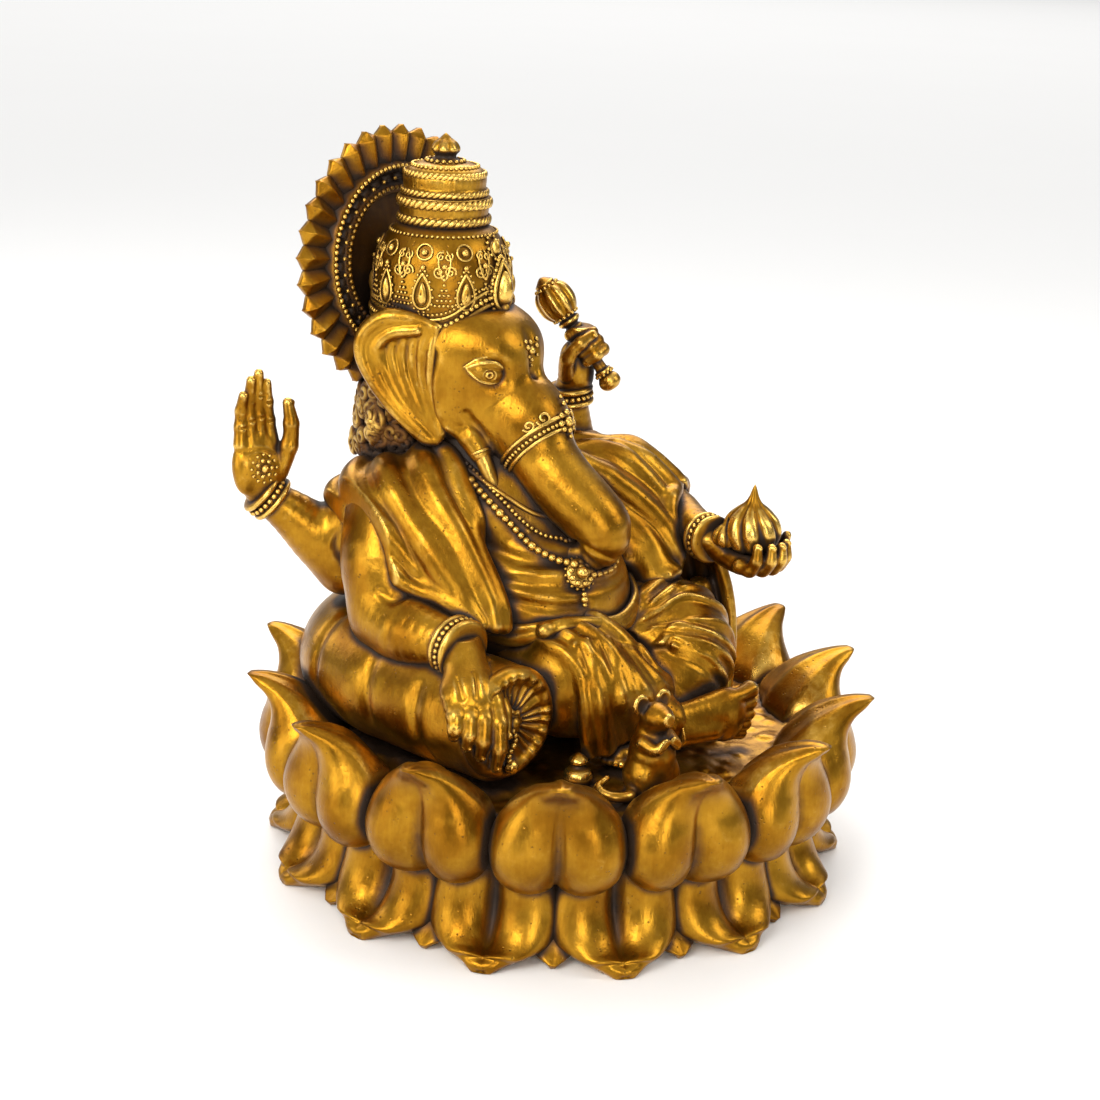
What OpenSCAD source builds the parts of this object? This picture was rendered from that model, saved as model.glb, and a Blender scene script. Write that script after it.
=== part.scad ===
// Seated elephant-headed figure on a double lotus, cast in resin with an antique gold finish.
// Millimetres. +Z up, origin on the ground under the middle of the lotus.
// The figure faces -Y, and its own left side is +X.

/* [Lotus] */
// Petals in each of the two rings
petals = 14; // [12:1:16]
// Radius of the circle through the lower petals' tips
lower_tip_r = 70; // [68:0.5:76]
// Radius of the circle through the upper petals' tips
upper_tip_r = 74.3; // [72:0.1:80]
// Height of the upper petals' tips
upper_tip_z = 45.7; // [44:0.1:50]
// Height of the deck that the figure sits on
deck_z = 31; // [30:0.5:32]
// Distance from the axis to the flats of the lotus core
core_flat = 54; // [52:0.5:55]
// Thickness of the felt under the base
felt_t = 1; // [0.6:0.1:2]

/* [Figure] */
// Turn of the head towards the figure's left, in degrees
head_turn = 20; // [12:1:24]
// Radius of the belly
belly_r = 21; // [19:0.5:22]
// Radius of the bolster behind the figure
bolster_r = 13.5; // [12:0.5:14.5]
// Radius of the pegs that join the castings
peg_r = 2; // [1.5:0.1:2.5]

/* [Crown] */
// Height above the ground where the crown's rim band sits
crown_z = 126; // [124:0.5:128]
// Radius of the crown's dome
dome_r = 15.2; // [14:0.1:16]
// Number of round studs about the dome
dome_studs = 12; // [8:1:16]

/* [Halo] */
// Outer radius at the tips of the rays
halo_r = 30.6; // [28:0.1:32]
// Number of pleated rays
rays = 32; // [24:1:40]
// Turn of the halo towards the figure's left, in degrees
halo_turn = 11.5; // [5:0.5:20]

/* [Hidden] */

gold = [0.72, 0.53, 0.17];
pale_gold = [0.80, 0.63, 0.27];
deep_gold = [0.55, 0.38, 0.10];
felt_black = [0.10, 0.09, 0.08];

coarse = 14;   // facets on the balls inside a hull
small = 10;    // facets on the balls of fingers, ears and other small shapes
fine = 48;     // facets on true round shapes
step = 360 / petals;
cover_t = 2;
deck_t = 3;
lower_flat = core_flat - 2;
belly_c = [-7, 3, 64];
chest_c = [-9, 9, 83];
neck_c = [-15, 17, 97];
head_axis = [-19, 26, 0];

right_shoulder = [-35, 19, 88];
left_shoulder = [22, 12, 83];
right_rear_elbow = [-40, 32, 69];
right_rear_wrist = [-55.5, 39, 84];
right_rear_palm = [-60, 39.5, 97];
right_front_elbow = [-42, 10, 63];
right_front_wrist = [-40, -10, 61.5];
right_front_knuckles = [-42, -23, 53];
left_rear_elbow = [23, 26, 82];
left_rear_wrist = [20.5, 26, 101];
left_rear_palm = [20.5, 23.5, 113];
left_front_elbow = [35, 3, 75];
left_front_wrist = [33, -11, 75];
left_front_palm = [37, -20, 71.5];
modak_c = [38.5, -22, 78];
club_top = [14.5, 29, 129];
club_bottom = [24, 19.5, 111];

bolster_path = [[-37, -26, 46], [-37, -4, 46], [-41, 14, 46], [-36, 34, 46], [-14, 42, 46], [16, 39, 46]];
neck_bead_path = [[-25, 12, 99], [-24, 4, 94], [-22, -3, 87], [-19, -9, 83.5], [-14, -15, 79],
    [-8, -18, 76.5], [2, -17, 78], [9, -11, 84]];

// ---- helpers ----

// Moves children so that their +Z runs from p towards q
module aim(p, q) {
    d = q - p;
    translate(p) rotate([0, acos(d[2] / norm(d)), atan2(d[1], d[0])]) children();
}

// One ball with flat facets, for use inside hull()
module ball(c, r) translate(c) sphere(r, $fn = r < 3 ? small : coarse);

// A smooth limb through the points, with a radius at each
module limb(points, radii)
    for (i = [0 : len(points) - 2])
        hull() {
            ball(points[i], radii[i]);
            ball(points[i + 1], radii[i + 1]);
        }

// A large block on the far side of p, looking from p towards q
module beyond(p, q) aim(p, q) translate([-40, -40, 0]) cube(80);

// Everything above the deck
module above_deck() translate([-90, -90, deck_z]) cube([180, 180, 180]);

// The head's own frame: x to its left, y to its back, z up
module head_frame() translate(head_axis) rotate(head_turn) children();

// Mean of a list of points
function middle(pts) = [for (p = pts) 1] * pts / len(pts);

// Closed loft through rings that all have the same number of points
module loft(loops) {
    n = len(loops[0]);
    m = len(loops);
    points = concat([for (loop = loops) for (p = loop) p], [middle(loops[0]), middle(loops[m - 1])]);
    sides = [for (i = [0 : m - 2]) for (k = [0 : n - 1]) each [
        [i * n + k, (i + 1) * n + k, i * n + (k + 1) % n],
        [(i + 1) * n + k, (i + 1) * n + (k + 1) % n, i * n + (k + 1) % n]]];
    caps = [for (k = [0 : n - 1]) each [
        [m * n, k, (k + 1) % n],
        [m * n + 1, (m - 1) * n + (k + 1) % n, (m - 1) * n + k]]];
    polyhedron(points, concat(sides, caps));
}

// Cross-section of a petal with two lobes outside and a groove between them.
// s = [outer radius, outer height, inner radius, inner height, half width, groove depth as a share]
function petal_ring(s) = concat(
    [for (y = [[-1, 0.5], [-0.8, 0.12], [-0.45, 0], [0, s[5]], [0.45, 0], [0.8, 0.12], [1, 0.5]])
        [s[0] + (s[2] - s[0]) * y[1], s[4] * y[0], s[1] + (s[3] - s[1]) * y[1]]],
    [for (y = [0.72, 0, -0.72]) [s[2], s[4] * y, s[3]]]);

// ---- lotus ----

module felt_pad() color(felt_black) cylinder(r = 46, h = felt_t, $fn = fine * 2);

module base_cover() color(deep_gold)
    translate([0, 0, felt_t]) cylinder(r = 47, h = cover_t, $fn = fine * 2);

// Prism whose flats face the petals of a ring
module petal_prism(flat, turn, z, h)
    translate([0, 0, z]) rotate(turn) linear_extrude(h)
        polygon([for (i = [0 : petals - 1]) flat / cos(step / 2) * [cos((i + 0.5) * step), sin((i + 0.5) * step)]]);

module lotus_core() color(gold) difference() {
    union() {
        petal_prism(lower_flat, -90, felt_t, 16);
        petal_prism(core_flat, -90 + step / 2, 16 + felt_t, deck_z - deck_t - 16 - felt_t);
    }
    translate([0, 0, felt_t - 1]) cylinder(r = 47, h = cover_t + 1, $fn = fine * 2);
    for (p = peg_places) translate([p[0], p[1], deck_z - deck_t - 10]) cylinder(r = peg_r, h = 12, $fn = fine);
}

module seat_deck() color(gold) difference() {
    petal_prism(core_flat, -90 + step / 2, deck_z - deck_t, deck_t);
    for (p = peg_places) translate([p[0], p[1], deck_z - deck_t - 1]) cylinder(r = peg_r, h = deck_t + 2, $fn = fine);
}

peg_places = [[-14, 4], [8, 8]];
module figure_pegs() color(deep_gold)
    for (p = peg_places) translate([p[0], p[1], deck_z - deck_t - 10]) cylinder(r = peg_r, h = 22, $fn = fine);

lower_stations = [
    [58, 20, lower_flat, 16.5, 8, 0.2],
    [63, 17.5, lower_flat, 14, 12, 0.25],
    [65.5, 12, lower_flat, 9, 13.4, 0.3],
    [66, 7, lower_flat + 1, 4, 12.6, 0.26],
    [67, 3.6, lower_flat + 6, 0.1, 8.5, 0.2],
    [lower_tip_r - 1.4, 2.3, lower_tip_r - 3, 0.1, 3, 0.1],
    [lower_tip_r, 1.4, lower_tip_r - 0.4, 0.2, 0.4, 0.1]];
module lower_petals() color(gold)
    for (j = [0 : petals - 1]) rotate(-90 + j * step) loft([for (s = lower_stations) petal_ring(s)]);

upper_stations = [
    [61.5, 16.6, core_flat, 18, 8.5, 0.3],
    [66.5, 18.6, core_flat, 20.5, 12.4, 0.22],
    [69, 24, core_flat, 24, 13.8, 0.2],
    [69.2, 30, core_flat, deck_z, 14, 0.18],
    [69.4, 35, core_flat + 5, deck_z + 3, 13.2, 0.16],
    [70.4, 39.6, core_flat + 11.5, 38, 10, 0.14],
    [72.2, 43.2, upper_tip_r - 4.5, 43.6, 5.4, 0.1],
    [upper_tip_r, upper_tip_z, upper_tip_r - 0.8, upper_tip_z + 0.6, 0.5, 0.1]];
module upper_petals() color(gold)
    for (j = [0 : petals - 1]) rotate(-90 + (j + 0.5) * step) loft([for (s = upper_stations) petal_ring(s)]);

// ---- bolster ----

module bolster_shape() limb(bolster_path, [for (i = [0 : 5]) bolster_r]);

module bolster_cushion() color(gold) difference() {
    intersection() {
        bolster_shape();
        above_deck();
    }
    beyond(bolster_path[0], bolster_path[0] - [0, 10, 0]);
    beyond(bolster_path[5], bolster_path[5] + [10, -1, 0]);
    torso_shape();
    leg_shapes();
    right_arms_shape();
}

// A round end of the bolster: a rolled edge about a dished, pleated disc
module bolster_end() {
    rotate_extrude($fn = fine) polygon([[0, 0], [bolster_r - 1, 0], [bolster_r - 1.2, 2], [bolster_r - 3, 3.2],
        [bolster_r - 5, 2.2], [3, 1.4], [0, 1.4]]);
}

module bolster_front_end() color(gold) intersection() {
    aim(bolster_path[0], bolster_path[0] - [0, 10, 0]) bolster_end();
    translate([-90, -90, deck_z + 0.5]) cube([180, 180, 60]);
}

module bolster_button() color(pale_gold)
    aim(bolster_path[0] - [0, 1.4, 0], bolster_path[0] - [0, 10, 0]) {
        cylinder(r = 2.4, h = 1.6, $fn = fine);
        translate([0, 0, 1.6]) cylinder(r = 1.5, h = 0.8, $fn = fine);
    }

module bolster_back_end() color(gold) intersection() {
    aim(bolster_path[5], bolster_path[5] + [10, -1, 0]) bolster_end();
    translate([-90, -90, deck_z + 0.5]) cube([180, 180, 60]);
}

// ---- body ----

module torso_shape() {
    hull() { ball([-6, 6, 47], 19); ball(belly_c, belly_r - 1); }
    hull() { ball(belly_c, belly_r); ball(belly_c + [1, -1.5, 1], belly_r - 0.6); }
    hull() { ball(belly_c + [-1, 4, 3], belly_r - 2); ball(chest_c, 15.5); }
    hull() { ball(chest_c + [-9, -3, 1], 9.5); ball(chest_c + [6, -3, 1], 9.5); }
    hull() { ball(chest_c, 14); ball(right_shoulder + [4, 0, -1], 8.5); }
    hull() { ball(chest_c, 14); ball(left_shoulder + [-3, 0, -1], 8); }
    hull() { ball(chest_c + [0, 2, 6], 12); ball(neck_c, 10); }
    hull() { ball(neck_c, 10); ball(neck_c + [-1, 2, 3], 10); }
}

module torso() color(gold) difference() {
    intersection() {
        torso_shape();
        above_deck();
    }
    leg_shapes();
    head_shape();
    for (p = peg_places) translate([p[0], p[1], deck_z - 1]) cylinder(r = peg_r, h = 13, $fn = fine);
    neck_peg();
}

// Right thigh to the knee, then the shin folded in front
module right_leg_shape() limb([[-10, 2, 46], [-24, -22, 50], [-23, -29, 53], [-14, -35, 44], [4, -35, 40]],
    [15, 15, 13.5, 11, 7]);

// Left thigh to the raised knee, then the shin down to the deck
module left_leg_shape() limb([[6, 4, 48], [22, -15, 52.5], [20, -19, 48], [8, -24, 40]], [15, 13, 12, 9]);

module leg_shapes() {
    right_leg_shape();
    left_leg_shape();
}

module right_leg() color(gold) intersection() {
    right_leg_shape();
    above_deck();
}

module left_leg() color(gold) difference() {
    intersection() {
        left_leg_shape();
        above_deck();
    }
    right_leg_shape();
}

right_foot_path = [[6, -35, 40.5], [16, -36.5, 42], [26, -36, 41]];
module right_foot_shape() {
    limb(right_foot_path, [5, 4.8, 3.4]);
    for (i = [0 : 4]) hull() {
        ball([22, -37.5, 43 - i * 1.7], 1.4);
        ball([29.5 - i * 0.7, -36.5, 43 - i * 1.9], 1.2);
    }
}
module right_foot() color(gold) difference() {
    right_foot_shape();
    leg_shapes();
}

module left_foot_shape() limb([[6, -25, 37], [-2, -29, 35.5], [-8, -31, 35]], [4.5, 4, 3]);
module left_foot() color(gold) difference() {
    intersection() {
        left_foot_shape();
        above_deck();
    }
    leg_shapes();
    mouse_shape();
    torso_shape();
}

module waist_sash() color(pale_gold) difference() {
    union() {
        limb([[-27, -2, 57], [-22, -13, 58], [-12, -18.5, 58.5], [0, -18.5, 59], [10, -12, 60], [15, -2, 61]],
            [2.6, 2.6, 2.6, 2.6, 2.6, 2.6]);
        limb([[-17, -17, 58], [-16, -18, 53]], [1.8, 1.2]);
        limb([[-22, -13, 58], [-22, -15, 52]], [1.8, 1.2]);
    }
    torso_shape();
    leg_shapes();
}

// ---- cloth over the shoulders ----

right_shawl_paths = [
    [[-36, 33, 92], [-42, 27, 82], [-42, 16, 71], [-33, 2, 63]],
    [[-32, 28, 97], [-37, 17, 91], [-37, 6, 79], [-31, -4, 68]],
    [[-28, 22, 100], [-32, 11, 94], [-31, 0, 82], [-29, -6, 70]],
    [[-24, 15, 100], [-27, 4, 92], [-26, -5, 82], [-26, -9, 70]]];
module right_shawl() color(gold) difference() {
    for (k = [0 : 2]) for (i = [0 : 2]) hull() {
        ball(right_shawl_paths[k][i], 2.6);
        ball(right_shawl_paths[k][i + 1], 2.6);
        ball(right_shawl_paths[k + 1][i], 2.6);
        ball(right_shawl_paths[k + 1][i + 1], 2.6);
    }
    torso_shape();
    right_arms_shape();
    head_shape();
    leg_shapes();
}

left_shawl_paths = [
    [[-2, 22, 98], [12, 22, 92], [26, 16, 86], [36, 8, 79], [39, 2, 68]],
    [[-2, 14, 98], [12, 11, 92], [23, 6, 88], [33, 1, 82], [36, -3, 72]],
    [[0, 6, 94], [10, 2, 88], [18, -3, 82], [26, -7, 75], [29, -9, 67]]];
module left_shawl_shape() for (k = [0 : 1]) for (i = [0 : 3]) hull() {
    ball(left_shawl_paths[k][i], 2.4);
    ball(left_shawl_paths[k][i + 1], 2.4);
    ball(left_shawl_paths[k + 1][i], 2.4);
    ball(left_shawl_paths[k + 1][i + 1], 2.4);
}
module left_shawl() color(gold) difference() {
    left_shawl_shape();
    torso_shape();
    left_arms_shape();
    head_shape();
    leg_shapes();
}

module side_drape() color(gold) difference() {
    intersection() {
        union() {
            limb([[39, -7, 69], [41, -11, 56], [41, -13, 44], [36, -18, 35]], [3, 3.8, 4.4, 3.6]);
            limb([[34, 6, 66], [37, 5, 52], [38, 2, 36]], [5, 6, 5.5]);
            limb([[30, 14, 62], [33, 14, 48], [34, 14, 36]], [6, 7, 5.5]);
        }
        above_deck();
    }
    torso_shape();
    leg_shapes();
    left_arms_shape();
    left_shawl_shape();
}
// ---- head ----

module neck_peg() color(deep_gold) translate(neck_c + [0, 0, -6]) cylinder(r = peg_r * 1.5, h = 16, $fn = fine);

module head_shape() head_frame() {
    hull() { ball([0, -2, 120], 13.5); ball([0, -9, 121], 13); }
    hull() { ball([0, -9, 121], 13); ball([0, -12.5, 118], 10.5); }
    hull() { ball([-4, -10, 112], 8.6); ball([4, -10, 112], 8.6); }
    hull() { ball([-4.5, -11, 106], 7); ball([4.5, -11, 106], 7); }
    hull() { ball([0, -13.5, 117], 10); ball([1, -15, 108], 8.8); }
    hull() { ball([0, 0, 116], 11.5); ball([0, -4, 107], 9.5); }
    hull() { ball([-4, -12, 120], 9); ball([4, -12, 120], 9); }
    hull() { ball([0, 2, 118], 11); ball([0, 1, 108], 9.5); }
}

trunk_path = [[-10.5, 4, 105], [-9.5, 0.5, 99.5], [-8, -6, 93], [-5.5, -13, 88], [-2.5, -18, 83.5], [-5, -20.5, 80], [-10, -19, 80]];
trunk_radii = [8.6, 8, 7.2, 6.6, 5.4, 3.6, 2.8];
trunk_cut = [-9.8, 1.6, 101.2];
module trunk_shape() limb(trunk_path, trunk_radii);

module head() color(gold) difference() {
    head_shape();
    crown_seat();
    trunk_band_shape();
    aim(trunk_cut, trunk_path[2]) cylinder(r = 11, h = 30, $fn = coarse);
    neck_peg();
}

// The block above the crown's rim, cut away from the head
module crown_seat() head_frame() translate([-40, -40, crown_z]) cube(80);

module trunk_band_shape() aim(trunk_cut, trunk_path[2]) cylinder(r = 9, h = 2.4, $fn = fine);

module trunk_band() color(pale_gold) aim(trunk_cut, trunk_path[2]) {
    cylinder(r = 8.8, h = 2.4, $fn = fine);
    for (z = [0.5, 1.9]) translate([0, 0, z]) rotate_extrude($fn = fine) translate([8.7, 0]) circle(0.5, $fn = 24);
}

module trunk() color(gold) difference() {
    trunk_shape();
    aim(trunk_cut, trunk_path[2]) translate([-20, -20, -20]) cube([40, 40, 22.4]);
    torso_shape();
}

// Ivory-shaped tusk, root at a and point at b
module tusk(a, b, r) aim(a, b) {
    cylinder(r1 = r, r2 = r * 0.35, h = norm(b - a), $fn = fine);
    rotate_extrude($fn = fine) translate([r, 0]) circle(0.5, $fn = 24);
}
module right_tusk() color(pale_gold) head_frame() tusk([-9, -16.4, 100], [-8.6, -25, 86], 1.9);
module left_tusk() color(pale_gold) head_frame() tusk([11, -16.4, 101], [12, -20.5, 96], 1.9);

// A flap ear lofted from its root against the head out to its rolled edge
module ear(side) {
    hull() {
        ball([side * 13, -5, 124], 1.8);
        ball([side * 12, -7, 104], 1.6);
        ball([side * 20, 5, 120], 1.4);
        ball([side * 18, 1, 110], 1.4);
    }
    rim = [[13, -5, 125], [17, 3, 126], [21, 7, 121], [20, 4.5, 114], [17, -1, 107], [14, -6.5, 101], [12, -8, 103]];
    for (i = [0 : len(rim) - 2]) hull() {
        ball([side * rim[i][0], rim[i][1], rim[i][2]], 1.6);
        ball([side * rim[i + 1][0], rim[i + 1][1], rim[i + 1][2]], 1.6);
    }
}
module right_ear() color(gold) difference() {
    head_frame() ear(-1);
    head_shape();
}
module left_ear() color(gold) difference() {
    head_frame() ear(1);
    head_shape();
}

module hair_curls() color(deep_gold) difference() {
    head_frame() for (side = [-1, 1]) for (i = [0 : 3]) hull() {
        ball([side * (17 - i), 9 + i * 1.5, 103 - i * 2.6], 2.9);
        ball([side * (13 - i), 11 + i, 101 - i * 2.6], 2.8);
    }
    head_shape();
    torso_shape();
    right_arms_shape();
}

module eyes() color(pale_gold) head_frame() for (s = [-1, 1]) translate([s * 8.8, -17.6, 118]) sphere(2.2, $fn = fine);

module forehead_mark() color(pale_gold) head_frame() {
    translate([0, -22.4, 122]) sphere(1.2, $fn = fine);
    for (side = [-1, 1]) for (i = [1 : 3])
        translate([side * i * 1.2, -22.3 + i * 0.2, 123.4 + i * 0.7]) sphere(0.7, $fn = fine);
}

// ---- crown ----

module crown_rim_band() color(pale_gold) head_frame() translate([0, 0, crown_z]) {
    cylinder(r1 = dome_r + 1.2, r2 = dome_r + 0.4, h = 3.4, $fn = fine);
    for (z = [0.6, 2.8]) translate([0, 0, z]) rotate_extrude($fn = fine) translate([dome_r + 0.9, 0]) circle(0.7, $fn = 24);
}

dome_base = crown_z + 3.4;
dome_top = crown_z + 22;
module crown_dome() color(gold) head_frame() translate([0, 0, dome_base])
    rotate_extrude($fn = fine) polygon([[0, 0], [dome_r - 0.2, 0], [dome_r, 3], [dome_r, 8], [dome_r - 1.4, 13],
        [dome_r - 4.2, 17], [dome_r - 4.8, dome_top - dome_base], [0, dome_top - dome_base]]);

module crown_jewels() color(pale_gold) head_frame() {
    for (i = [0 : dome_studs - 1]) rotate(i * 360 / dome_studs) translate([0, -dome_r - 0.8, dome_base + 5.5]) sphere(1.3, $fn = 24);
    for (i = [0 : dome_studs - 1]) rotate((i + 0.5) * 360 / dome_studs) translate([0, -dome_r + 1, dome_base + 13.5]) sphere(1, $fn = 24);
    hull() { ball([0, -dome_r - 2, dome_base + 3], 2); ball([0, -dome_r - 2, dome_base + 9], 1); }
    translate([0, -dome_r - 2.2, dome_base - 2]) sphere(1.4, $fn = 24);
}

// A turned ring of the crown with a rope bead above and below
module crown_ring(r, z, h) translate([0, 0, z]) {
    cylinder(r = r, h = h, $fn = fine);
    for (e = [1, h - 1]) translate([0, 0, e]) rotate_extrude($fn = fine) translate([r, 0]) circle(0.9, $fn = 24);
}
module crown_lower_ring() color(gold) head_frame() crown_ring(10.2, dome_top, 6);
module crown_upper_ring() color(gold) head_frame() crown_ring(9.2, dome_top + 6, 6);

module crown_finial() color(gold) head_frame() translate([0, 0, dome_top + 12])
    rotate_extrude($fn = fine) polygon([[0, 0], [8.4, 0], [7.4, 1.4], [4, 2], [2.4, 2.2], [3.1, 3.6], [2.8, 4.8],
        [1.4, 6], [0.4, 6.8], [0, 6.9]]);

// ---- halo ----

halo_c = [-22, 40.5, 137.5];
crown_nest_r = 15.6;
module halo_frame() translate(halo_c) rotate(halo_turn) rotate([86.5, 0, 0]) children();

// Star outline of the rays, with two shoulders beside each tip
ray_outline = [for (i = [0 : rays - 1]) each [
    (halo_r - 5) * [cos(i * 360 / rays), sin(i * 360 / rays)],
    (halo_r - 2.6) * [cos((i + 0.24) * 360 / rays), sin((i + 0.24) * 360 / rays)],
    halo_r * [cos((i + 0.5) * 360 / rays), sin((i + 0.5) * 360 / rays)],
    (halo_r - 2.6) * [cos((i + 0.76) * 360 / rays), sin((i + 0.76) * 360 / rays)]]];

// Disc with the rays about it and a round nest for the back of the crown
module halo_rays() color(gold) halo_frame() difference() {
    union() {
        translate([0, 0, -1.5]) linear_extrude(2.2) polygon(ray_outline);
        translate([0, 0, -4]) cylinder(r = 22, h = 3, $fn = fine * 2);
    }
    translate([0, 0, -2.5]) cylinder(r = crown_nest_r, h = 5, $fn = fine * 2);
}

module halo_ring() color(pale_gold) halo_frame() translate([0, 0, 0.7]) {
    rotate_extrude($fn = fine * 2) polygon([[15.6, 0], [23.3, 0], [23.3, 1.2], [21.8, 1.8], [21.2, 1], [17.6, 1], [17, 2], [15.6, 2]]);
}

module halo_beads() color(pale_gold) halo_frame()
    for (i = [0 : rays - 1]) rotate((i + 0.5) * 360 / rays) translate([19.4, 0, 2.2]) sphere(0.8, $fn = 24);

// ---- arms ----

// Upper arm and forearm, cut square where the bangle begins
module arm(shoulder, elbow, wrist, radii) difference() {
    limb([shoulder, elbow, wrist + (wrist - elbow) * 0.2], radii);
    beyond(wrist, wrist + (wrist - elbow));
}

module right_rear_arm_shape() arm([-36, 26, 84], right_rear_elbow, right_rear_wrist, [9, 8.2, 5]);
module right_front_arm_shape() arm([-37, 20, 84], right_front_elbow, right_front_wrist, [10, 9.4, 6]);
module right_arms_shape() {
    right_rear_arm_shape();
    right_front_arm_shape();
}
module left_rear_arm_shape() arm([20, 22, 86], left_rear_elbow, left_rear_wrist, [8, 7.4, 5.2]);
module left_front_arm_shape() arm([26, 12, 84], left_front_elbow, left_front_wrist, [9, 8.6, 5]);
module left_arms_shape() {
    left_rear_arm_shape();
    left_front_arm_shape();
}

module right_rear_arm() color(gold) difference() {
    right_rear_arm_shape();
    torso_shape();
    right_front_arm_shape();
}
module right_front_arm() color(gold) difference() {
    right_front_arm_shape();
    torso_shape();
    leg_shapes();
}
module left_rear_arm() color(gold) difference() {
    left_rear_arm_shape();
    torso_shape();
    left_front_arm_shape();
}
module left_front_arm() color(gold) difference() {
    left_front_arm_shape();
    torso_shape();
    leg_shapes();
}

// A drum of bead rows about a wrist, bored for the hand's peg
module bangle(wrist, from, r) color(pale_gold) aim(wrist, wrist + (wrist - from)) difference() {
    union() {
        cylinder(r = r, h = 4.4, $fn = fine);
        for (z = [0.8, 2.2, 3.6]) translate([0, 0, z]) rotate_extrude($fn = fine) translate([r, 0]) circle(0.7, $fn = 24);
    }
    translate([0, 0, -1]) cylinder(r = 1.6, h = 7, $fn = fine);
}
module hand_peg(wrist, from) aim(wrist, wrist + (wrist - from)) cylinder(r = 1.6, h = 6, $fn = fine);
function past(wrist, from, d) = wrist + (wrist - from) / norm(wrist - from) * d;

module right_rear_bangle() bangle(right_rear_wrist, right_rear_elbow, 5.4);
module right_front_bangle() bangle(right_front_wrist, right_front_elbow, 6.6);
module left_rear_bangle() bangle(left_rear_wrist, left_rear_elbow, 5.4);
module left_front_bangle() bangle(left_front_wrist, left_front_elbow, 5.4);

// Raised open palm with the fingers up
module right_rear_hand() color(gold) difference() {
    union() {
        hull() { ball(right_rear_palm + [1.5, -0.6, -8], 4.4); ball(right_rear_palm + [3.4, -1.5, 2], 3.2); ball(right_rear_palm + [-3.4, 1.5, 1], 3.2); }
        for (i = [0 : 3]) limb([right_rear_palm + [3.6 - i * 2.4, -1.6 + i * 1, 2], right_rear_palm + [3.2 - i * 2.5, -1 + i, 10],
            right_rear_palm + [2.2 - i * 2.3, 0.8 + i, 17 - abs(i - 1) * 1.6]], [1.9, 1.6, 1.3]);
        limb([right_rear_palm + [4, -3, -4], right_rear_palm + [6, -6, 4], right_rear_palm + [4.5, -6, 12]], [2.6, 2, 1.4]);
        hand_peg(right_rear_wrist, right_rear_elbow);
    }
    difference() {
        beyond(past(right_rear_wrist, right_rear_elbow, 4.4), right_rear_wrist);
        hand_peg(right_rear_wrist, right_rear_elbow);
    }
}

module hanging_fingers() translate(right_front_knuckles) for (i = [0 : 3])
    limb([[4.2 - i * 2.8, 0, 0.5], [4 - i * 2.6, -4.6, -5], [3 - i * 2.2, -4.6, -12 + abs(i - 1)]], [2.2, 1.9, 1.3]);

// Relaxed hand that hangs over the end of the bolster
module right_front_hand() color(gold) difference() {
    union() {
        hull() { ball(past(right_front_wrist, right_front_elbow, 6), 5.6); ball(right_front_knuckles + [3, 0, 1], 3.4); ball(right_front_knuckles + [-3, 0, 1], 3.4); }
        hanging_fingers();
        hand_peg(right_front_wrist, right_front_elbow);
    }
    difference() {
        beyond(past(right_front_wrist, right_front_elbow, 4.4), right_front_wrist);
        hand_peg(right_front_wrist, right_front_elbow);
    }
    bolster_shape();
}

module hanging_tassel() color(pale_gold) difference() {
    limb([[-43, -29.4, 46], [-43.5, -30, 42], [-43, -30.4, 38]], [1.4, 1, 1.6]);
    hanging_fingers();
}

// Fist about the club's grip
module left_rear_hand() color(gold) difference() {
    union() {
        hull() { ball(past(left_rear_wrist, left_rear_elbow, 6), 4.6); ball(left_rear_palm + [0, 1, 1], 4.6); }
        for (i = [0 : 3]) limb([left_rear_palm + [3.6 - i, -3, 4 - i * 2.3], left_rear_palm + [-0.4 - i, -4.4, 3.8 - i * 2.2],
            left_rear_palm + [-4.2 - i * 0.6, -1, 4 - i * 2]], [1.5, 1.5, 1.2]);
        hand_peg(left_rear_wrist, left_rear_elbow);
    }
    difference() {
        beyond(past(left_rear_wrist, left_rear_elbow, 4.4), left_rear_wrist);
        hand_peg(left_rear_wrist, left_rear_elbow);
    }
    aim(club_bottom, club_top) translate([0, 0, -4]) cylinder(r = 2.2, h = 40, $fn = fine);
    head_shape();
}

module club() color(gold) aim(club_bottom, club_top) {
    translate([0, 0, -3]) cylinder(r = 2.1, h = 17, $fn = fine);
    translate([0, 0, -4]) sphere(2.8, $fn = fine);
    translate([0, 0, 14]) rotate_extrude($fn = fine) polygon([[0, 0], [2.6, 0], [4.4, 2.4], [4.6, 5], [3.4, 8], [1.2, 10.4], [0, 10.8]]);
}

// Open hand, palm up, with the fingers curled at the end
module left_front_hand() color(gold) difference() {
    union() {
        hull() { ball(past(left_front_wrist, left_front_elbow, 6), 4.2); ball(left_front_palm + [-2, -2, 0], 4); ball(left_front_palm + [3.4, -1, 0], 3.2); }
        for (i = [0 : 3]) limb([left_front_palm + [4 - i * 2.5, -3, 0], left_front_palm + [5 - i * 2.6, -8.4, 1], left_front_palm + [5.4 - i * 2.6, -11, 4]],
            [1.9, 1.6, 1.2]);
        hand_peg(left_front_wrist, left_front_elbow);
    }
    difference() {
        beyond(past(left_front_wrist, left_front_elbow, 4.4), left_front_wrist);
        hand_peg(left_front_wrist, left_front_elbow);
    }
    modak_body(coarse);
}

module modak_body(facets) translate(modak_c) {
    sphere(6, $fn = facets);
    cylinder(r1 = 4.6, r2 = 0.8, h = 8.6, $fn = facets);
}
module modak_sweet() color(pale_gold) modak_body(fine);

// ---- beads ----

module bead_necklace() color(pale_gold)
    for (i = [0 : len(neck_bead_path) - 2]) for (t = [0 : 3])
        translate(neck_bead_path[i] * (1 - t / 4) + neck_bead_path[i + 1] * t / 4) sphere(0.8, $fn = 24);

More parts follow.
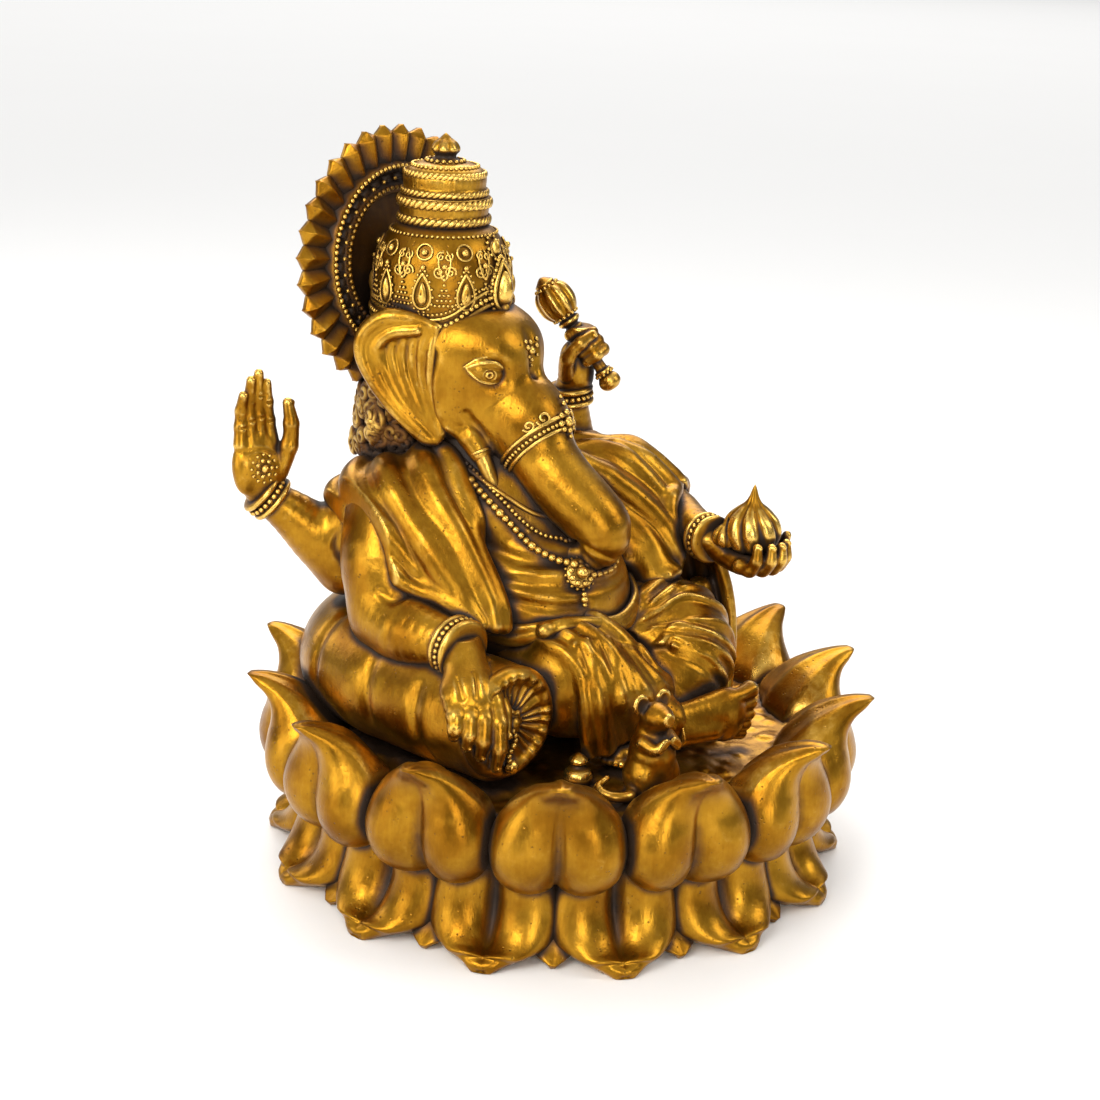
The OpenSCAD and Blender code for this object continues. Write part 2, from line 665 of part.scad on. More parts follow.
module pendant() color(pale_gold) translate([-11, -18.8, 74]) rotate([80, 0, -10]) {
    cylinder(r = 3.4, h = 1.8, $fn = fine);
    translate([0, 0, 1.8]) cylinder(r = 2, h = 0.9, $fn = fine);
    translate([0, -4.4, 0.4]) rotate_extrude($fn = fine) translate([1.4, 0]) circle(0.6, $fn = 24);
}

// ---- mouse ----

mouse_c = [-7, -40.5];
module mouse_shape() translate([mouse_c[0], mouse_c[1], 0]) {
    limb([[0, 0, 36], [0, -0.5, 42], [0, 0, 48.5]], [5.4, 5.2, 3.8]);
    limb([[0, 0, 48.5], [1, 3, 50]], [3.6, 2]);
    for (side = [-1, 1]) hull() { ball([side * 3.6, -1, 51], 1.6); ball([side * 4.6, -1, 52.4], 1.8); }
    for (side = [-1, 1]) limb([[side * 4.5, 0, 44], [side * 5, 3, 47]], [2, 1.6]);
    limb([[-3, -4, 33.5], [-8, -5, 33.5], [-12, -2, 34], [-9, 1, 34]], [1.4, 1.2, 1, 0.9]);
}
module mouse() color(gold) difference() {
    intersection() {
        mouse_shape();
        above_deck();
    }
    leg_shapes();
    right_foot_shape();
}

felt_pad();
base_cover();
lotus_core();
seat_deck();
lower_petals();
upper_petals();
figure_pegs();
bolster_cushion();
bolster_front_end();
bolster_button();
bolster_back_end();
torso();
waist_sash();
right_leg();
left_leg();
right_foot();
left_foot();
right_shawl();
left_shawl();
side_drape();
neck_peg();
head();
trunk();
trunk_band();
right_tusk();
left_tusk();
right_ear();
left_ear();
hair_curls();
eyes();
forehead_mark();
crown_rim_band();
crown_dome();
crown_jewels();
crown_lower_ring();
crown_upper_ring();
crown_finial();
halo_rays();
halo_ring();
halo_beads();
right_rear_arm();
right_rear_bangle();
right_rear_hand();
right_front_arm();
right_front_bangle();
right_front_hand();
hanging_tassel();
left_rear_arm();
left_rear_bangle();
left_rear_hand();
club();
left_front_arm();
left_front_bangle();
left_front_hand();
modak_sweet();
bead_necklace();
pendant();
mouse();
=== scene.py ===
import math
import bpy
import numpy as np
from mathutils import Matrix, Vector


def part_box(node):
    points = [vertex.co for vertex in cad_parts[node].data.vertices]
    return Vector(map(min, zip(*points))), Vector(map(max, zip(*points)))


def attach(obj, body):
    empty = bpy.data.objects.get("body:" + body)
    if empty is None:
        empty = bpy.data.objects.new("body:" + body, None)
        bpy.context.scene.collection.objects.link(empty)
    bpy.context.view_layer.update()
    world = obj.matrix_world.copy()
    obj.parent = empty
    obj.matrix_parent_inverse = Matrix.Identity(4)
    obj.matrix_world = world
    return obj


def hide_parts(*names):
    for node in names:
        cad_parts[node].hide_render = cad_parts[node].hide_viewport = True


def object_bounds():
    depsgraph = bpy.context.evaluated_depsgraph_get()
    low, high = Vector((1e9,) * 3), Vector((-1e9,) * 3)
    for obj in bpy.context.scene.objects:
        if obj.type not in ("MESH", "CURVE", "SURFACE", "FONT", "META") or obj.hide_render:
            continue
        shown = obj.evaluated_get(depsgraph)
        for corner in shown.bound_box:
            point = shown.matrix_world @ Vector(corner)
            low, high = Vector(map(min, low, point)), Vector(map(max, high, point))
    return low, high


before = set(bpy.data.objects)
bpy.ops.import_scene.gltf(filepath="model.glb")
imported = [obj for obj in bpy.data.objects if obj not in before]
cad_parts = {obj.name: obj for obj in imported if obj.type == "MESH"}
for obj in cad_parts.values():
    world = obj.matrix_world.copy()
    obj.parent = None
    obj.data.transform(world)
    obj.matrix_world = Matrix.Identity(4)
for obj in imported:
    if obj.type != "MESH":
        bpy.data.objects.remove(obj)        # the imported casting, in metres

import openvdb
from mathutils import Matrix, Vector

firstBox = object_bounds()
mm = 0.001
madePieces = []


def say(words):
    print("statue:", words, flush=True)


# ---- small geometry helpers ----

def vec(*values):
    return np.array(values if len(values) > 1 else values[0], float)


def unit(v):
    v = np.asarray(v, float)
    return v / max(np.linalg.norm(v), 1e-9)


def nodeBox(*nodes):
    corners = [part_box(node) for node in nodes]
    low = np.min([np.array(c[0]) for c in corners], axis=0) / mm
    high = np.max([np.array(c[1]) for c in corners], axis=0) / mm
    return low, high


# a smooth curve through points of any width, about one sample per step
def throughPoints(points, step=1.5, closed=False):
    points = np.array(points, float)
    count = len(points)
    if count == 2 and not closed:
        n = max(2, int(np.linalg.norm(points[1, :3] - points[0, :3]) / step) + 1)
        t = np.linspace(0, 1, n)[:, None]
        return points[0] * (1 - t) + points[1] * t
    out = []
    spans = count if closed else count - 1
    for i in range(spans):
        b, c = points[i], points[(i + 1) % count]
        a = points[i - 1] if i > 0 or closed else 2 * b - c
        d = points[(i + 2) % count] if i + 2 < count or closed else 2 * c - b
        n = max(1, int(math.ceil(np.linalg.norm(c[:3] - b[:3]) / step)))
        t = (np.arange(n) / n)[:, None]
        out.append(0.5 * (2 * b + (c - a) * t + (2 * a - 5 * b + 4 * c - d) * t ** 2
                          + (3 * b - a - 3 * c + d) * t ** 3))
    if not closed:
        out.append(points[-1:])
    return np.concatenate(out)


def turned(points, degrees, about=(0, 0)):
    a = math.radians(degrees)
    points = np.array(points, float)
    out = points.copy()
    out[..., 0] = about[0] + points[..., 0] * math.cos(a) - points[..., 1] * math.sin(a)
    out[..., 1] = about[1] + points[..., 0] * math.sin(a) + points[..., 1] * math.cos(a)
    return out


# ---- meshes ----

def makeMesh(name, points, faces):
    mesh = bpy.data.meshes.new(name)
    points = np.asarray(points, np.float32) * mm
    faces = np.asarray(faces, np.int32)
    side = faces.shape[1]
    mesh.vertices.add(len(points))
    mesh.vertices.foreach_set("co", points.ravel())
    mesh.loops.add(faces.size)
    mesh.loops.foreach_set("vertex_index", faces.ravel())
    mesh.polygons.add(len(faces))
    mesh.polygons.foreach_set("loop_start", np.arange(0, faces.size, side, dtype=np.int32))
    mesh.update(calc_edges=True)
    mesh.shade_smooth()
    piece = bpy.data.objects.new(name, mesh)
    bpy.context.scene.collection.objects.link(piece)
    return piece


def volumeOf(points, faces):
    a, b, c = points[faces[:, 0]], points[faces[:, 1]], points[faces[:, 2]]
    total = np.einsum("ij,ij->i", a, np.cross(b, c)).sum()
    if faces.shape[1] == 4:
        total += np.einsum("ij,ij->i", a, np.cross(c, points[faces[:, 3]])).sum()
    return total


# rows of rings, closed round each ring and capped at both ends by a point
def loftFaces(rows, ring):
    k = np.arange(ring)
    quads = [np.stack([i * ring + k, i * ring + (k + 1) % ring,
                       (i + 1) * ring + (k + 1) % ring, (i + 1) * ring + k], 1) for i in range(rows - 1)]
    return np.concatenate(quads)


def loftPiece(name, rings, ends=None):
    rings = np.array(rings, float)
    rows, ring = rings.shape[:2]
    if ends is None:
        ends = [rings[0].mean(0), rings[-1].mean(0)]
    points = np.concatenate([rings.reshape(-1, 3), np.array(ends)])
    quads = loftFaces(rows, ring)
    k = np.arange(ring)
    first = np.stack([np.full(ring, rows * ring), (k + 1) % ring, k], 1)
    last = np.stack([np.full(ring, rows * ring + 1), (rows - 1) * ring + k,
                     (rows - 1) * ring + (k + 1) % ring], 1)
    triangles = np.concatenate([quads[:, [0, 1, 2]], quads[:, [0, 2, 3]], first, last])
    if volumeOf(points, triangles) < 0:
        triangles = triangles[:, ::-1]
    return makeMesh(name, points, triangles)


# a turned shape: profile rows of [radius, height] about an axis, optionally waved round it
def lathe(name, profile, origin, axes, sides=96, wave=None):
    profile = np.array(profile, float)
    a = np.linspace(0, 2 * math.pi, sides, endpoint=False)
    rings = []
    for j, (r, z) in enumerate(profile):
        rr = np.full(sides, r) if wave is None else wave(r, z, a)
        rings.append(np.stack([rr * np.cos(a), rr * np.sin(a), np.full(sides, z)], 1))
    rings = np.array(rings) @ np.array(axes, float) + np.array(origin, float)
    return loftPiece(name, rings)


# axes whose third row runs along a direction
def axesAlong(direction, up=(0, 0, 1)):
    d = unit(direction)
    side = np.cross(up, d)
    if np.linalg.norm(side) < 1e-3:
        side = np.cross((0, 1, 0), d)
    side = unit(side)
    return np.array([side, np.cross(d, side), d])


def joinPieces(name, objects):
    bpy.ops.object.select_all(action="DESELECT")
    for o in objects:
        o.select_set(True)
    bpy.context.view_layer.objects.active = objects[0]
    if len(objects) > 1:
        bpy.ops.object.join()
    objects[0].name = name
    objects[0].data.name = name
    return objects[0]


# a round wire along points, its radius may change along it
def wire(name, points, radius, sides=10, step=0.5, closed=False):
    points = np.array(points, float)
    radius = np.broadcast_to(np.asarray(radius, float), (len(points),))
    line = throughPoints(np.concatenate([points, radius[:, None]], 1), step, closed)
    centre, rad = line[:, :3], np.maximum(line[:, 3], 0.03)
    ahead = np.roll(centre, -1, 0) - np.roll(centre, 1, 0)
    if not closed:
        ahead[0], ahead[-1] = centre[1] - centre[0], centre[-1] - centre[-2]
    ahead /= np.maximum(np.linalg.norm(ahead, axis=1), 1e-9)[:, None]
    side = np.zeros_like(centre)
    start = np.cross(ahead[0], (0.31, 0.17, 0.93))
    side[0] = unit(start)
    for i in range(1, len(centre)):
        s = side[i - 1] - ahead[i] * np.dot(side[i - 1], ahead[i])
        side[i] = unit(s)
    other = np.cross(ahead, side)
    a = np.linspace(0, 2 * math.pi, sides, endpoint=False)
    rings = centre[:, None] + rad[:, None, None] * (side[:, None] * np.cos(a)[None, :, None]
                                                   + other[:, None] * np.sin(a)[None, :, None])
    if closed:
        rings = np.concatenate([rings, rings[:1]])
        flat = rings[:-1].reshape(-1, 3)
        quads = loftFaces(len(rings), sides) % len(flat)
        if volumeOf(flat, quads) < 0:
            quads = quads[:, ::-1]
        return makeMesh(name, flat, quads)
    ends = [centre[0] - ahead[0] * rad[0] * 0.4, centre[-1] + ahead[-1] * rad[-1] * 0.4]
    return loftPiece(name, rings, ends)


# ---- modelling clay: a distance field in millimetres, shaped by brushes ----

far = 6.0


def softUnion(a, b, k):
    h = np.maximum(k - np.abs(a - b), 0) / k
    return np.minimum(a, b) - h * h * k * 0.25


def softCut(a, b, k):
    h = np.maximum(k - np.abs(a + b), 0) / k
    return np.maximum(a, -b) + h * h * k * 0.25


# a field's value at places given in cells, mixed from the eight corners about each
def cornersMixed(field, places):
    i = np.clip(np.floor(places).astype(int), 0, np.array(field.shape) - 2)
    f = np.clip(places - i, 0, 1)
    out = 0
    for dx in (0, 1):
        for dy in (0, 1):
            for dz in (0, 1):
                w = (f[:, 0] if dx else 1 - f[:, 0]) * (f[:, 1] if dy else 1 - f[:, 1]) * (f[:, 2]
                    if dz else 1 - f[:, 2])
                out = out + w * field[i[:, 0] + dx, i[:, 1] + dy, i[:, 2] + dz]
    return out


class Clay:
    def __init__(self, low, high, cell):
        self.cell = cell
        self.low = np.array(low, float)
        self.count = np.ceil((np.array(high, float) - self.low) / cell).astype(int) + 1
        self.field = np.full(self.count, far, np.float32)

    def window(self, low, high, pad):
        first = np.clip(np.floor((np.array(low) - pad - self.low) / self.cell).astype(int), 0, self.count)
        last = np.clip(np.ceil((np.array(high) + pad - self.low) / self.cell).astype(int) + 1, 0, self.count)
        if (last - first).min() < 1:
            return None
        part = tuple(slice(a, b) for a, b in zip(first, last))
        grid = [(self.low[i] + self.cell * np.arange(first[i], last[i])).astype(np.float32).reshape(
            [-1 if j == i else 1 for j in range(3)]) for i in range(3)]
        return part, grid

    def apply(self, part, shape, blend, cut):
        work = self.field[part]
        self.field[part] = softCut(work, shape, blend) if cut else softUnion(work, shape, blend)

    # a chain of tapered capsules on a smooth curve; flat = (normal, squash) thins it along the normal
    def limb(self, points, radii, blend=1.0, cut=False, flat=None, step=None):
        points = np.array(points, float)
        radii = np.broadcast_to(np.asarray(radii, float), (len(points),))
        line = throughPoints(np.concatenate([points, radii[:, None]], 1),
                             step or max(0.8, float(radii.max()) * 0.3))
        pad = max(blend, 2.0) + self.cell * 2
        reach = line[:, 3].max()
        got = self.window(line[:, :3].min(0) - reach, line[:, :3].max(0) + reach, pad)
        if got is None:
            return self
        part, _ = got
        shape = np.full([s.stop - s.start for s in part], 50.0, np.float32)
        for p, q in zip(line[:-1], line[1:]):
            r = max(p[3], q[3])
            one = self.window(np.minimum(p, q)[:3] - r, np.maximum(p, q)[:3] + r, pad)
            if one is None:
                continue
            sub, (x, y, z) = one
            inner = tuple(slice(a.start - b.start, a.stop - b.start) for a, b in zip(sub, part))
            d = (q - p)[:3]
            long = max(float(d @ d), 1e-9)
            x, y, z = x - p[0], y - p[1], z - p[2]
            t = np.clip((x * d[0] + y * d[1] + z * d[2]) / long, 0, 1)
            x, y, z = x - t * d[0], y - t * d[1], z - t * d[2]
            away = x * x + y * y + z * z
            if flat is not None:
                n = unit(flat[0])
                away = away + (flat[1] ** 2 - 1) * (x * n[0] + y * n[1] + z * n[2]) ** 2
            dist = np.sqrt(away) - (p[3] + t * (q[3] - p[3]))
            if flat is not None:
                dist = dist / (1 + (flat[1] - 1) * 0.5)
            shape[inner] = np.minimum(shape[inner], dist)
        self.apply(part, shape, blend, cut)
        return self

    # an ellipsoid; rows of axes are its own x, y and z
    def blob(self, centre, radii, blend=1.0, cut=False, axes=None):
        radii = np.broadcast_to(np.asarray(radii, float), (3,))
        got = self.window(np.array(centre) - radii.max(), np.array(centre) + radii.max(),
                          max(blend, 2.0) + self.cell * 2)
        if got is None:
            return self
        part, (x, y, z) = got
        x, y, z = x - centre[0], y - centre[1], z - centre[2]
        if axes is not None:
            x, y, z = [x * a[0] + y * a[1] + z * a[2] for a in np.array(axes, float)]
        near = np.sqrt((x / radii[0]) ** 2 + (y / radii[1]) ** 2 + (z / radii[2]) ** 2)
        steep = np.sqrt((x / radii[0] ** 2) ** 2 + (y / radii[1] ** 2) ** 2 + (z / radii[2] ** 2) ** 2)
        shape = (near * (near - 1) / np.maximum(steep, 1e-6)).astype(np.float32)
        self.apply(part, shape, blend, cut)
        return self

    # removes everything on the side of the plane that the normal points to
    def slice(self, point, normal, blend=0.4, reach=None):
        n = unit(normal)
        if reach is None:
            low, high = self.low, self.low + self.cell * self.count
        else:
            low, high = np.array(point) - reach, np.array(point) + reach
        part, (x, y, z) = self.window(low, high, 0)
        d = -((x - point[0]) * n[0] + (y - point[1]) * n[1] + (z - point[2]) * n[2])
        self.apply(part, d, blend, True)
        return self

    def sample(self, points):
        return cornersMixed(self.field, (np.asarray(points, float) - self.low) / self.cell)

    def outward(self, points):
        e = self.cell * 1.2
        g = np.stack([self.sample(points + np.eye(3)[k] * e) - self.sample(points - np.eye(3)[k] * e)
                      for k in range(3)], 1)
        return g / np.maximum(np.linalg.norm(g, axis=1), 1e-6)[:, None]

    # moves points to the surface, lifted by a height
    def onSurface(self, points, lift=0.0):
        points = np.array(points, float)
        for _ in range(6):
            n = self.outward(points)
            d = self.sample(points) - lift
            points = points - n * np.clip(d, -2.5, 2.5)[:, None] * 0.9
        return points

    # ridges or grooves that fan between two guide curves, laid on the surface
    def folds(self, first, last, count, radius, blend=1.2, lift=0.0, cut=False, seed=1, sway=0.6, fade=0.35):
        rng = np.random.default_rng(seed)
        a, b = throughPoints(first, 1.5), throughPoints(last, 1.5)
        n = 12
        a = np.stack([np.interp(np.linspace(0, 1, n), np.linspace(0, 1, len(a)), a[:, k]) for k in range(3)],
                     1)
        b = np.stack([np.interp(np.linspace(0, 1, n), np.linspace(0, 1, len(b)), b[:, k]) for k in range(3)],
                     1)
        for j in range(count):
            t = (j + 0.5) / count + rng.uniform(-0.22, 0.22) / count
            line = a * (1 - t) + b * t
            line = line + rng.normal(0, sway, (3, 3))[[0] * 4 + [1] * 4 + [2]
                                                      * 4] * np.sin(np.linspace(0, math.pi, n))[:, None]
            line = self.onSurface(line, lift)
            s = np.linspace(0, 1, n)
            taper = np.minimum(1, np.minimum(s, 1 - s) / fade + 0.25)
            self.limb(line, radius * rng.uniform(0.75, 1.2) * taper, blend, cut, step=1.6)
        return self

    def mesh(self, name, relax=2):
        field = self.field.copy()
        for axis in range(3):
            edge = [slice(None)] * 3
            for side in (0, -1):
                edge[axis] = side
                field[tuple(edge)] = np.maximum(field[tuple(edge)], self.cell * 0.5)
        grid = openvdb.FloatGrid(far)
        grid.copyFromArray(field)
        points, quads = grid.convertToQuads(0.0)
        points = np.array(points, float) * self.cell + self.low
        quads = np.array(quads, np.int64)
        if volumeOf(points, quads) < 0:
            quads = quads[:, ::-1]
        points = relaxed(points, quads, relax)
        return makeMesh(name, points, quads)


def edgesOf(faces):
    side = faces.shape[1]
    pairs = np.concatenate([faces[:, [k, (k + 1) % side]] for k in range(side)])
    pairs.sort(axis=1)
    return np.unique(pairs, axis=0)


def neighbourMean(values, edges, count):
    total = np.zeros((count,) + values.shape[1:])
    many = np.bincount(edges.ravel(), minlength=count).astype(float)
    if values.ndim == 1:
        total = np.bincount(edges[:, 0], values[edges[:, 1]], count) + np.bincount(edges[:, 1],
            values[edges[:, 0]], count)
        return total / np.maximum(many, 1)
    for k in range(values.shape[1]):
        total[:, k] = np.bincount(edges[:, 0], values[edges[:, 1], k], count) + np.bincount(edges[:, 1],
            values[edges[:, 0], k], count)
    return total / np.maximum(many, 1)[:, None]


def relaxed(points, faces, rounds):
    if not rounds:
        return points
    edges = edgesOf(np.asarray(faces))
    for _ in range(rounds):
        for rate in (0.5, -0.52):
            points = points + rate * (neighbourMean(points, edges, len(points)) - points)
    return points


# ---- camera, floor and light ----

say("camera and light")
viewFrom = {"azimuth": -39.15, "elevation": 18.09, "distance": 0.443, "roll": 2.53, "lens": 63.7,
            "aimBesideCentre": (-0.0109, -0.0073, -0.0064)}
studio = {"sky": 0.27, "floorTone": (0.88, 0.875, 0.865), "floorSize": 30.0}

boxLow, boxHigh = firstBox
middlePoint = (boxLow + boxHigh) / 2


def directionAt(azimuth, elevation):
    a, e = math.radians(azimuth), math.radians(elevation)
    return Vector((math.sin(a) * math.cos(e), -math.cos(a) * math.cos(e), math.sin(e)))


camera = bpy.data.objects.new("camera", bpy.data.cameras.new("camera"))
bpy.context.scene.collection.objects.link(camera)
camera.data.lens = viewFrom["lens"]
camera.data.sensor_width = 36
camera.data.clip_start, camera.data.clip_end = 0.01, 100
back = directionAt(viewFrom["azimuth"], viewFrom["elevation"])
rightHand = (-back).cross(Vector((0, 0, 1))).normalized()
upHand = rightHand.cross(-back).normalized()
lean = math.radians(viewFrom["roll"])
cameraUp = upHand * math.cos(lean) - rightHand * math.sin(lean)
cameraRight = rightHand * math.cos(lean) + upHand * math.sin(lean)
spot = middlePoint + Vector(viewFrom["aimBesideCentre"]) + back * viewFrom["distance"]
camera.matrix_world = Matrix.Translation(spot) @ Matrix((cameraRight, cameraUp, back)).transposed().to_4x4()
bpy.context.scene.camera = camera
bpy.context.scene.view_settings.view_transform = "Standard"


def softBox(name, azimuth, elevation, distance, size, power, tint=(1, 1, 1)):
    data = bpy.data.lights.new(name, "AREA")
    data.shape = "RECTANGLE"
    data.size, data.size_y = size
    data.energy = power
    data.color = tint
    lamp = bpy.data.objects.new(name, data)
    bpy.context.scene.collection.objects.link(lamp)
    away = directionAt(azimuth, elevation)
    lamp.location = middlePoint + away * distance
    lamp.rotation_mode = "QUATERNION"
    lamp.rotation_quaternion = away.to_track_quat("Z", "Y")
    return lamp


softBox("keyLight", -68, 34, 0.62, (0.30, 0.30), 2.3, (1.0, 0.98, 0.95))
softBox("lowLight", -98, 9, 0.75, (0.42, 0.3), 1.4, (1.0, 0.98, 0.95))
softBox("frontLight", -26, 13, 0.8, (0.24, 0.34), 1.8, (1.0, 0.98, 0.96))
softBox("sideLight", 42, 34, 0.7, (0.22, 0.4), 1.3, (1.0, 0.97, 0.94))
softBox("topLight", 150, 62, 0.6, (0.36, 0.3), 1.2, (1.0, 0.99, 0.97))
softBox("backLight", 205, 22, 0.8, (0.3, 0.4), 1.1, (1.0, 0.98, 0.96))

softBox("ceiling", 0, 89.9, 3.4, (9.0, 9.0), 140.0)
softBox("farLight", 141, 40, 9.0, (9.0, 5.0), 420.0)

world = bpy.data.worlds.new("studioAir")
bpy.context.scene.world = world
world.use_nodes = True
airNodes, airLinks = world.node_tree.nodes, world.node_tree.links
airNodes.clear()
airOut = airNodes.new("ShaderNodeOutputWorld")
air = airNodes.new("ShaderNodeBackground")
air.inputs["Color"].default_value = (studio["sky"],) * 3 + (1,)
airLinks.new(air.outputs[0], airOut.inputs["Surface"])

half = studio["floorSize"] / 2
floorMesh = bpy.data.meshes.new("floor")
floorMesh.from_pydata([(-half, -half, 0), (half, -half, 0), (half, half, 0), (-half, half, 0)], [],
                      [(0, 1, 2, 3)])
floor = bpy.data.objects.new("floor", floorMesh)
bpy.context.scene.collection.objects.link(floor)


# ---- shader writing ----

class Sock:
    # a socket, or a number, that arithmetic can be written with
    def __init__(self, shader, socket):
        self.shader, self.socket = shader, socket

    def math(self, operation, *others, clamp=False):
        values = dict(enumerate([self.socket] + [o.socket if isinstance(o, Sock) else o for o in others]))
        return self.shader.node("ShaderNodeMath", {"operation": operation, "use_clamp": clamp}, values)

    def __add__(self, other):
        return self.math("ADD", other)

    def __radd__(self, other):
        return self.math("ADD", other)

    def __sub__(self, other):
        return self.math("SUBTRACT", other)

    def __rsub__(self, other):
        return Sock(self.shader, other).math("SUBTRACT", self)

    def __mul__(self, other):
        return self.math("MULTIPLY", other)

    def __rmul__(self, other):
        return self.math("MULTIPLY", other)

    def __truediv__(self, other):
        return self.math("DIVIDE", other)

    def __rtruediv__(self, other):
        return Sock(self.shader, other).math("DIVIDE", self)

    def __pow__(self, other):
        return self.math("POWER", other)

    def clamped(self):
        return self.math("ADD", 0.0, clamp=True)

    def most(self, other):
        return self.math("MAXIMUM", other)

    # 0 below low, 1 above high, smooth between
    def between(self, low, high):
        return self.shader.node("ShaderNodeMapRange", {"interpolation_type": "SMOOTHSTEP", "clamp": True},
                                {"Value": self.socket, "From Min": low, "From Max": high, "To Min": 0.0,
                                 "To Max": 1.0})


class Shader:
    def __init__(self, name):
        self.material = bpy.data.materials.new(name)
        self.material.use_nodes = True
        self.tree = self.material.node_tree
        self.tree.nodes.clear()
        self.output = self.tree.nodes.new("ShaderNodeOutputMaterial")

    # any node: its settings first, then the values or links of its sockets
    def node(self, kind, settings=None, values=None, give=0):
        made = self.tree.nodes.new(kind)
        for key, value in (settings or {}).items():
            setattr(made, key, value)
        for key, value in (values or {}).items():
            socket = made.inputs[key]
            if isinstance(value, Sock):
                value = value.socket
            if isinstance(value, bpy.types.NodeSocket):
                self.tree.links.new(value, socket)
            else:
                socket.default_value = value
        return Sock(self, made.outputs[give])

    def noise(self, where, scale, detail=3.0, roughness=0.55, distortion=0.0):
        return self.node("ShaderNodeTexNoise", {"noise_dimensions": "3D"},
                         {"Vector": where, "Scale": scale, "Detail": detail, "Roughness": roughness,
                          "Distortion": distortion})

    def stretch(self, where, scale, turn=(0, 0, 0)):
        return self.node("ShaderNodeMapping", {}, {"Vector": where, "Scale": scale, "Rotation": turn})

    def mixed(self, factor, first, second, blend="MIX"):
        made = self.tree.nodes.new("ShaderNodeMix")
        made.data_type = "RGBA"
        made.blend_type = blend
        made.clamp_factor = True
        for key, value in ((0, factor), (6, first), (7, second)):
            if isinstance(value, Sock):
                self.tree.links.new(value.socket, made.inputs[key])
            else:
                made.inputs[key].default_value = tuple(value) + (1,) if isinstance(value,
                    tuple) and len(value) == 3 else value
        return Sock(self, made.outputs[2])

    def attribute(self, name):
        return self.node("ShaderNodeAttribute", {"attribute_name": name}, give="Fac")

    def finish(self, base, metallic, roughness, height=None, strength=0.3, reach=0.0002, constants=None):
        values = {"Base Color": base, "Metallic": metallic, "Roughness": roughness}
        if height is not None:
            values["Normal"] = self.node("ShaderNodeBump", {},
                                         {"Height": height, "Strength": strength, "Distance": reach})
        values.update(constants or {})
        shader = self.node("ShaderNodeBsdfPrincipled", {}, values)
        self.tree.links.new(shader.socket, self.output.inputs["Surface"])
        return self.material


# gold paint over resin: rubbed bright and painted highlight on the high places, brown wash and painted shade
# in the low ones
def giltFinish(name, look):
    s = Shader(name)
    here = s.node("ShaderNodeTexCoord", give="Object")
    shade, edge = s.attribute("shade"), s.attribute("edge")
    clouds = s.noise(here, 95.0, 4.0, 0.6)
    mottle = s.noise(here, 420.0, 4.0, 0.65, 0.4)
    grain = s.noise(here, 2600.0, 3.0, 0.6)
    brushed = s.noise(s.stretch(here, (1500.0, 1500.0, 170.0), (0.5, 0.35, 0.2)), 1.0, 3.0, 0.6)
    pits = 1 - s.node("ShaderNodeTexVoronoi", {"feature": "F1"},
                      {"Vector": here, "Scale": 900.0}).between(0.05, 0.28)
    pits = pits * s.noise(here, 260.0, 2.0).between(0.52, 0.62)
    # painted shade: hidden places go brown and the deepest go black, partly the casting's dark wash, partly
    # shade painted in
    low = (shade * look["lowGain"] + (mottle - 0.5) * 0.34 - edge * 0.55 - look["lowStart"]).clamped()
    dark = low.between(0.05, 0.75)
    deep = (shade * 1.25 - edge * 0.5 + (mottle - 0.5) * 0.3 - 0.42).between(0.05, 0.5)
    # painted highlight: convex places go light gold, partly rubbed-through wear, partly a highlight painted
    # in
    rubbedAndPaintedHighlight = (edge * 1.7 + (mottle - 0.5) * 0.7 + (clouds - 0.5) * 0.5).between(0.12, 0.72) * (1 - dark)
    tone = s.mixed((clouds * 0.86 + brushed * 0.14).between(0.32, 0.68), look["goldLow"], look["goldHigh"])
    tone = s.mixed(rubbedAndPaintedHighlight * 0.75, tone, look["rubbedAndPaintedHighlight"])
    tone = s.mixed(dark * 0.85, tone, look["brown"])
    tone = s.mixed((deep * 0.92).most(pits * 0.55), tone, look["black"])
    tone = s.mixed(grain.between(0.62, 0.75) * 0.22, tone, look["brown"])
    rough = look["rough"] + (mottle - 0.5) * 0.16 + (brushed - 0.5) * 0.05
    rough = rough + dark * 0.16 + deep * 0.15 - rubbedAndPaintedHighlight * 0.07
    metal = 0.97 - dark * 0.3 - deep * 0.45 - pits * 0.2
    height = brushed * 0.35 + mottle * 0.55 + grain * 0.16 - pits * 0.7
    return s.finish(tone, metal, rough, height, look["bump"], 0.00035)


# the light gold paints worn edges and highlights; brown and black paint the wash and the shade of hidden
# places, black also the pits
giltLook = {"goldLow": (0.215, 0.086, 0.004), "goldHigh": (0.40, 0.197, 0.014), "rubbedAndPaintedHighlight": (0.84, 0.54, 0.125),
            "brown": (0.090, 0.031, 0.003), "black": (0.010, 0.004, 0.001), "rough": 0.31, "bump": 0.42,
            "lowGain": 1.8, "lowStart": 0.21}
gilt = giltFinish("antiqueGilt", giltLook)
brightGilt = giltFinish("brightGilt", dict(giltLook, rough=0.33, goldLow=(0.25, 0.108, 0.006),
                                           goldHigh=(0.45, 0.24, 0.024)))
darkGilt = giltFinish("darkGilt", dict(giltLook, rough=0.45, goldLow=(0.13, 0.05, 0.004),
                                       goldHigh=(0.26, 0.12, 0.010), lowStart=0.12))


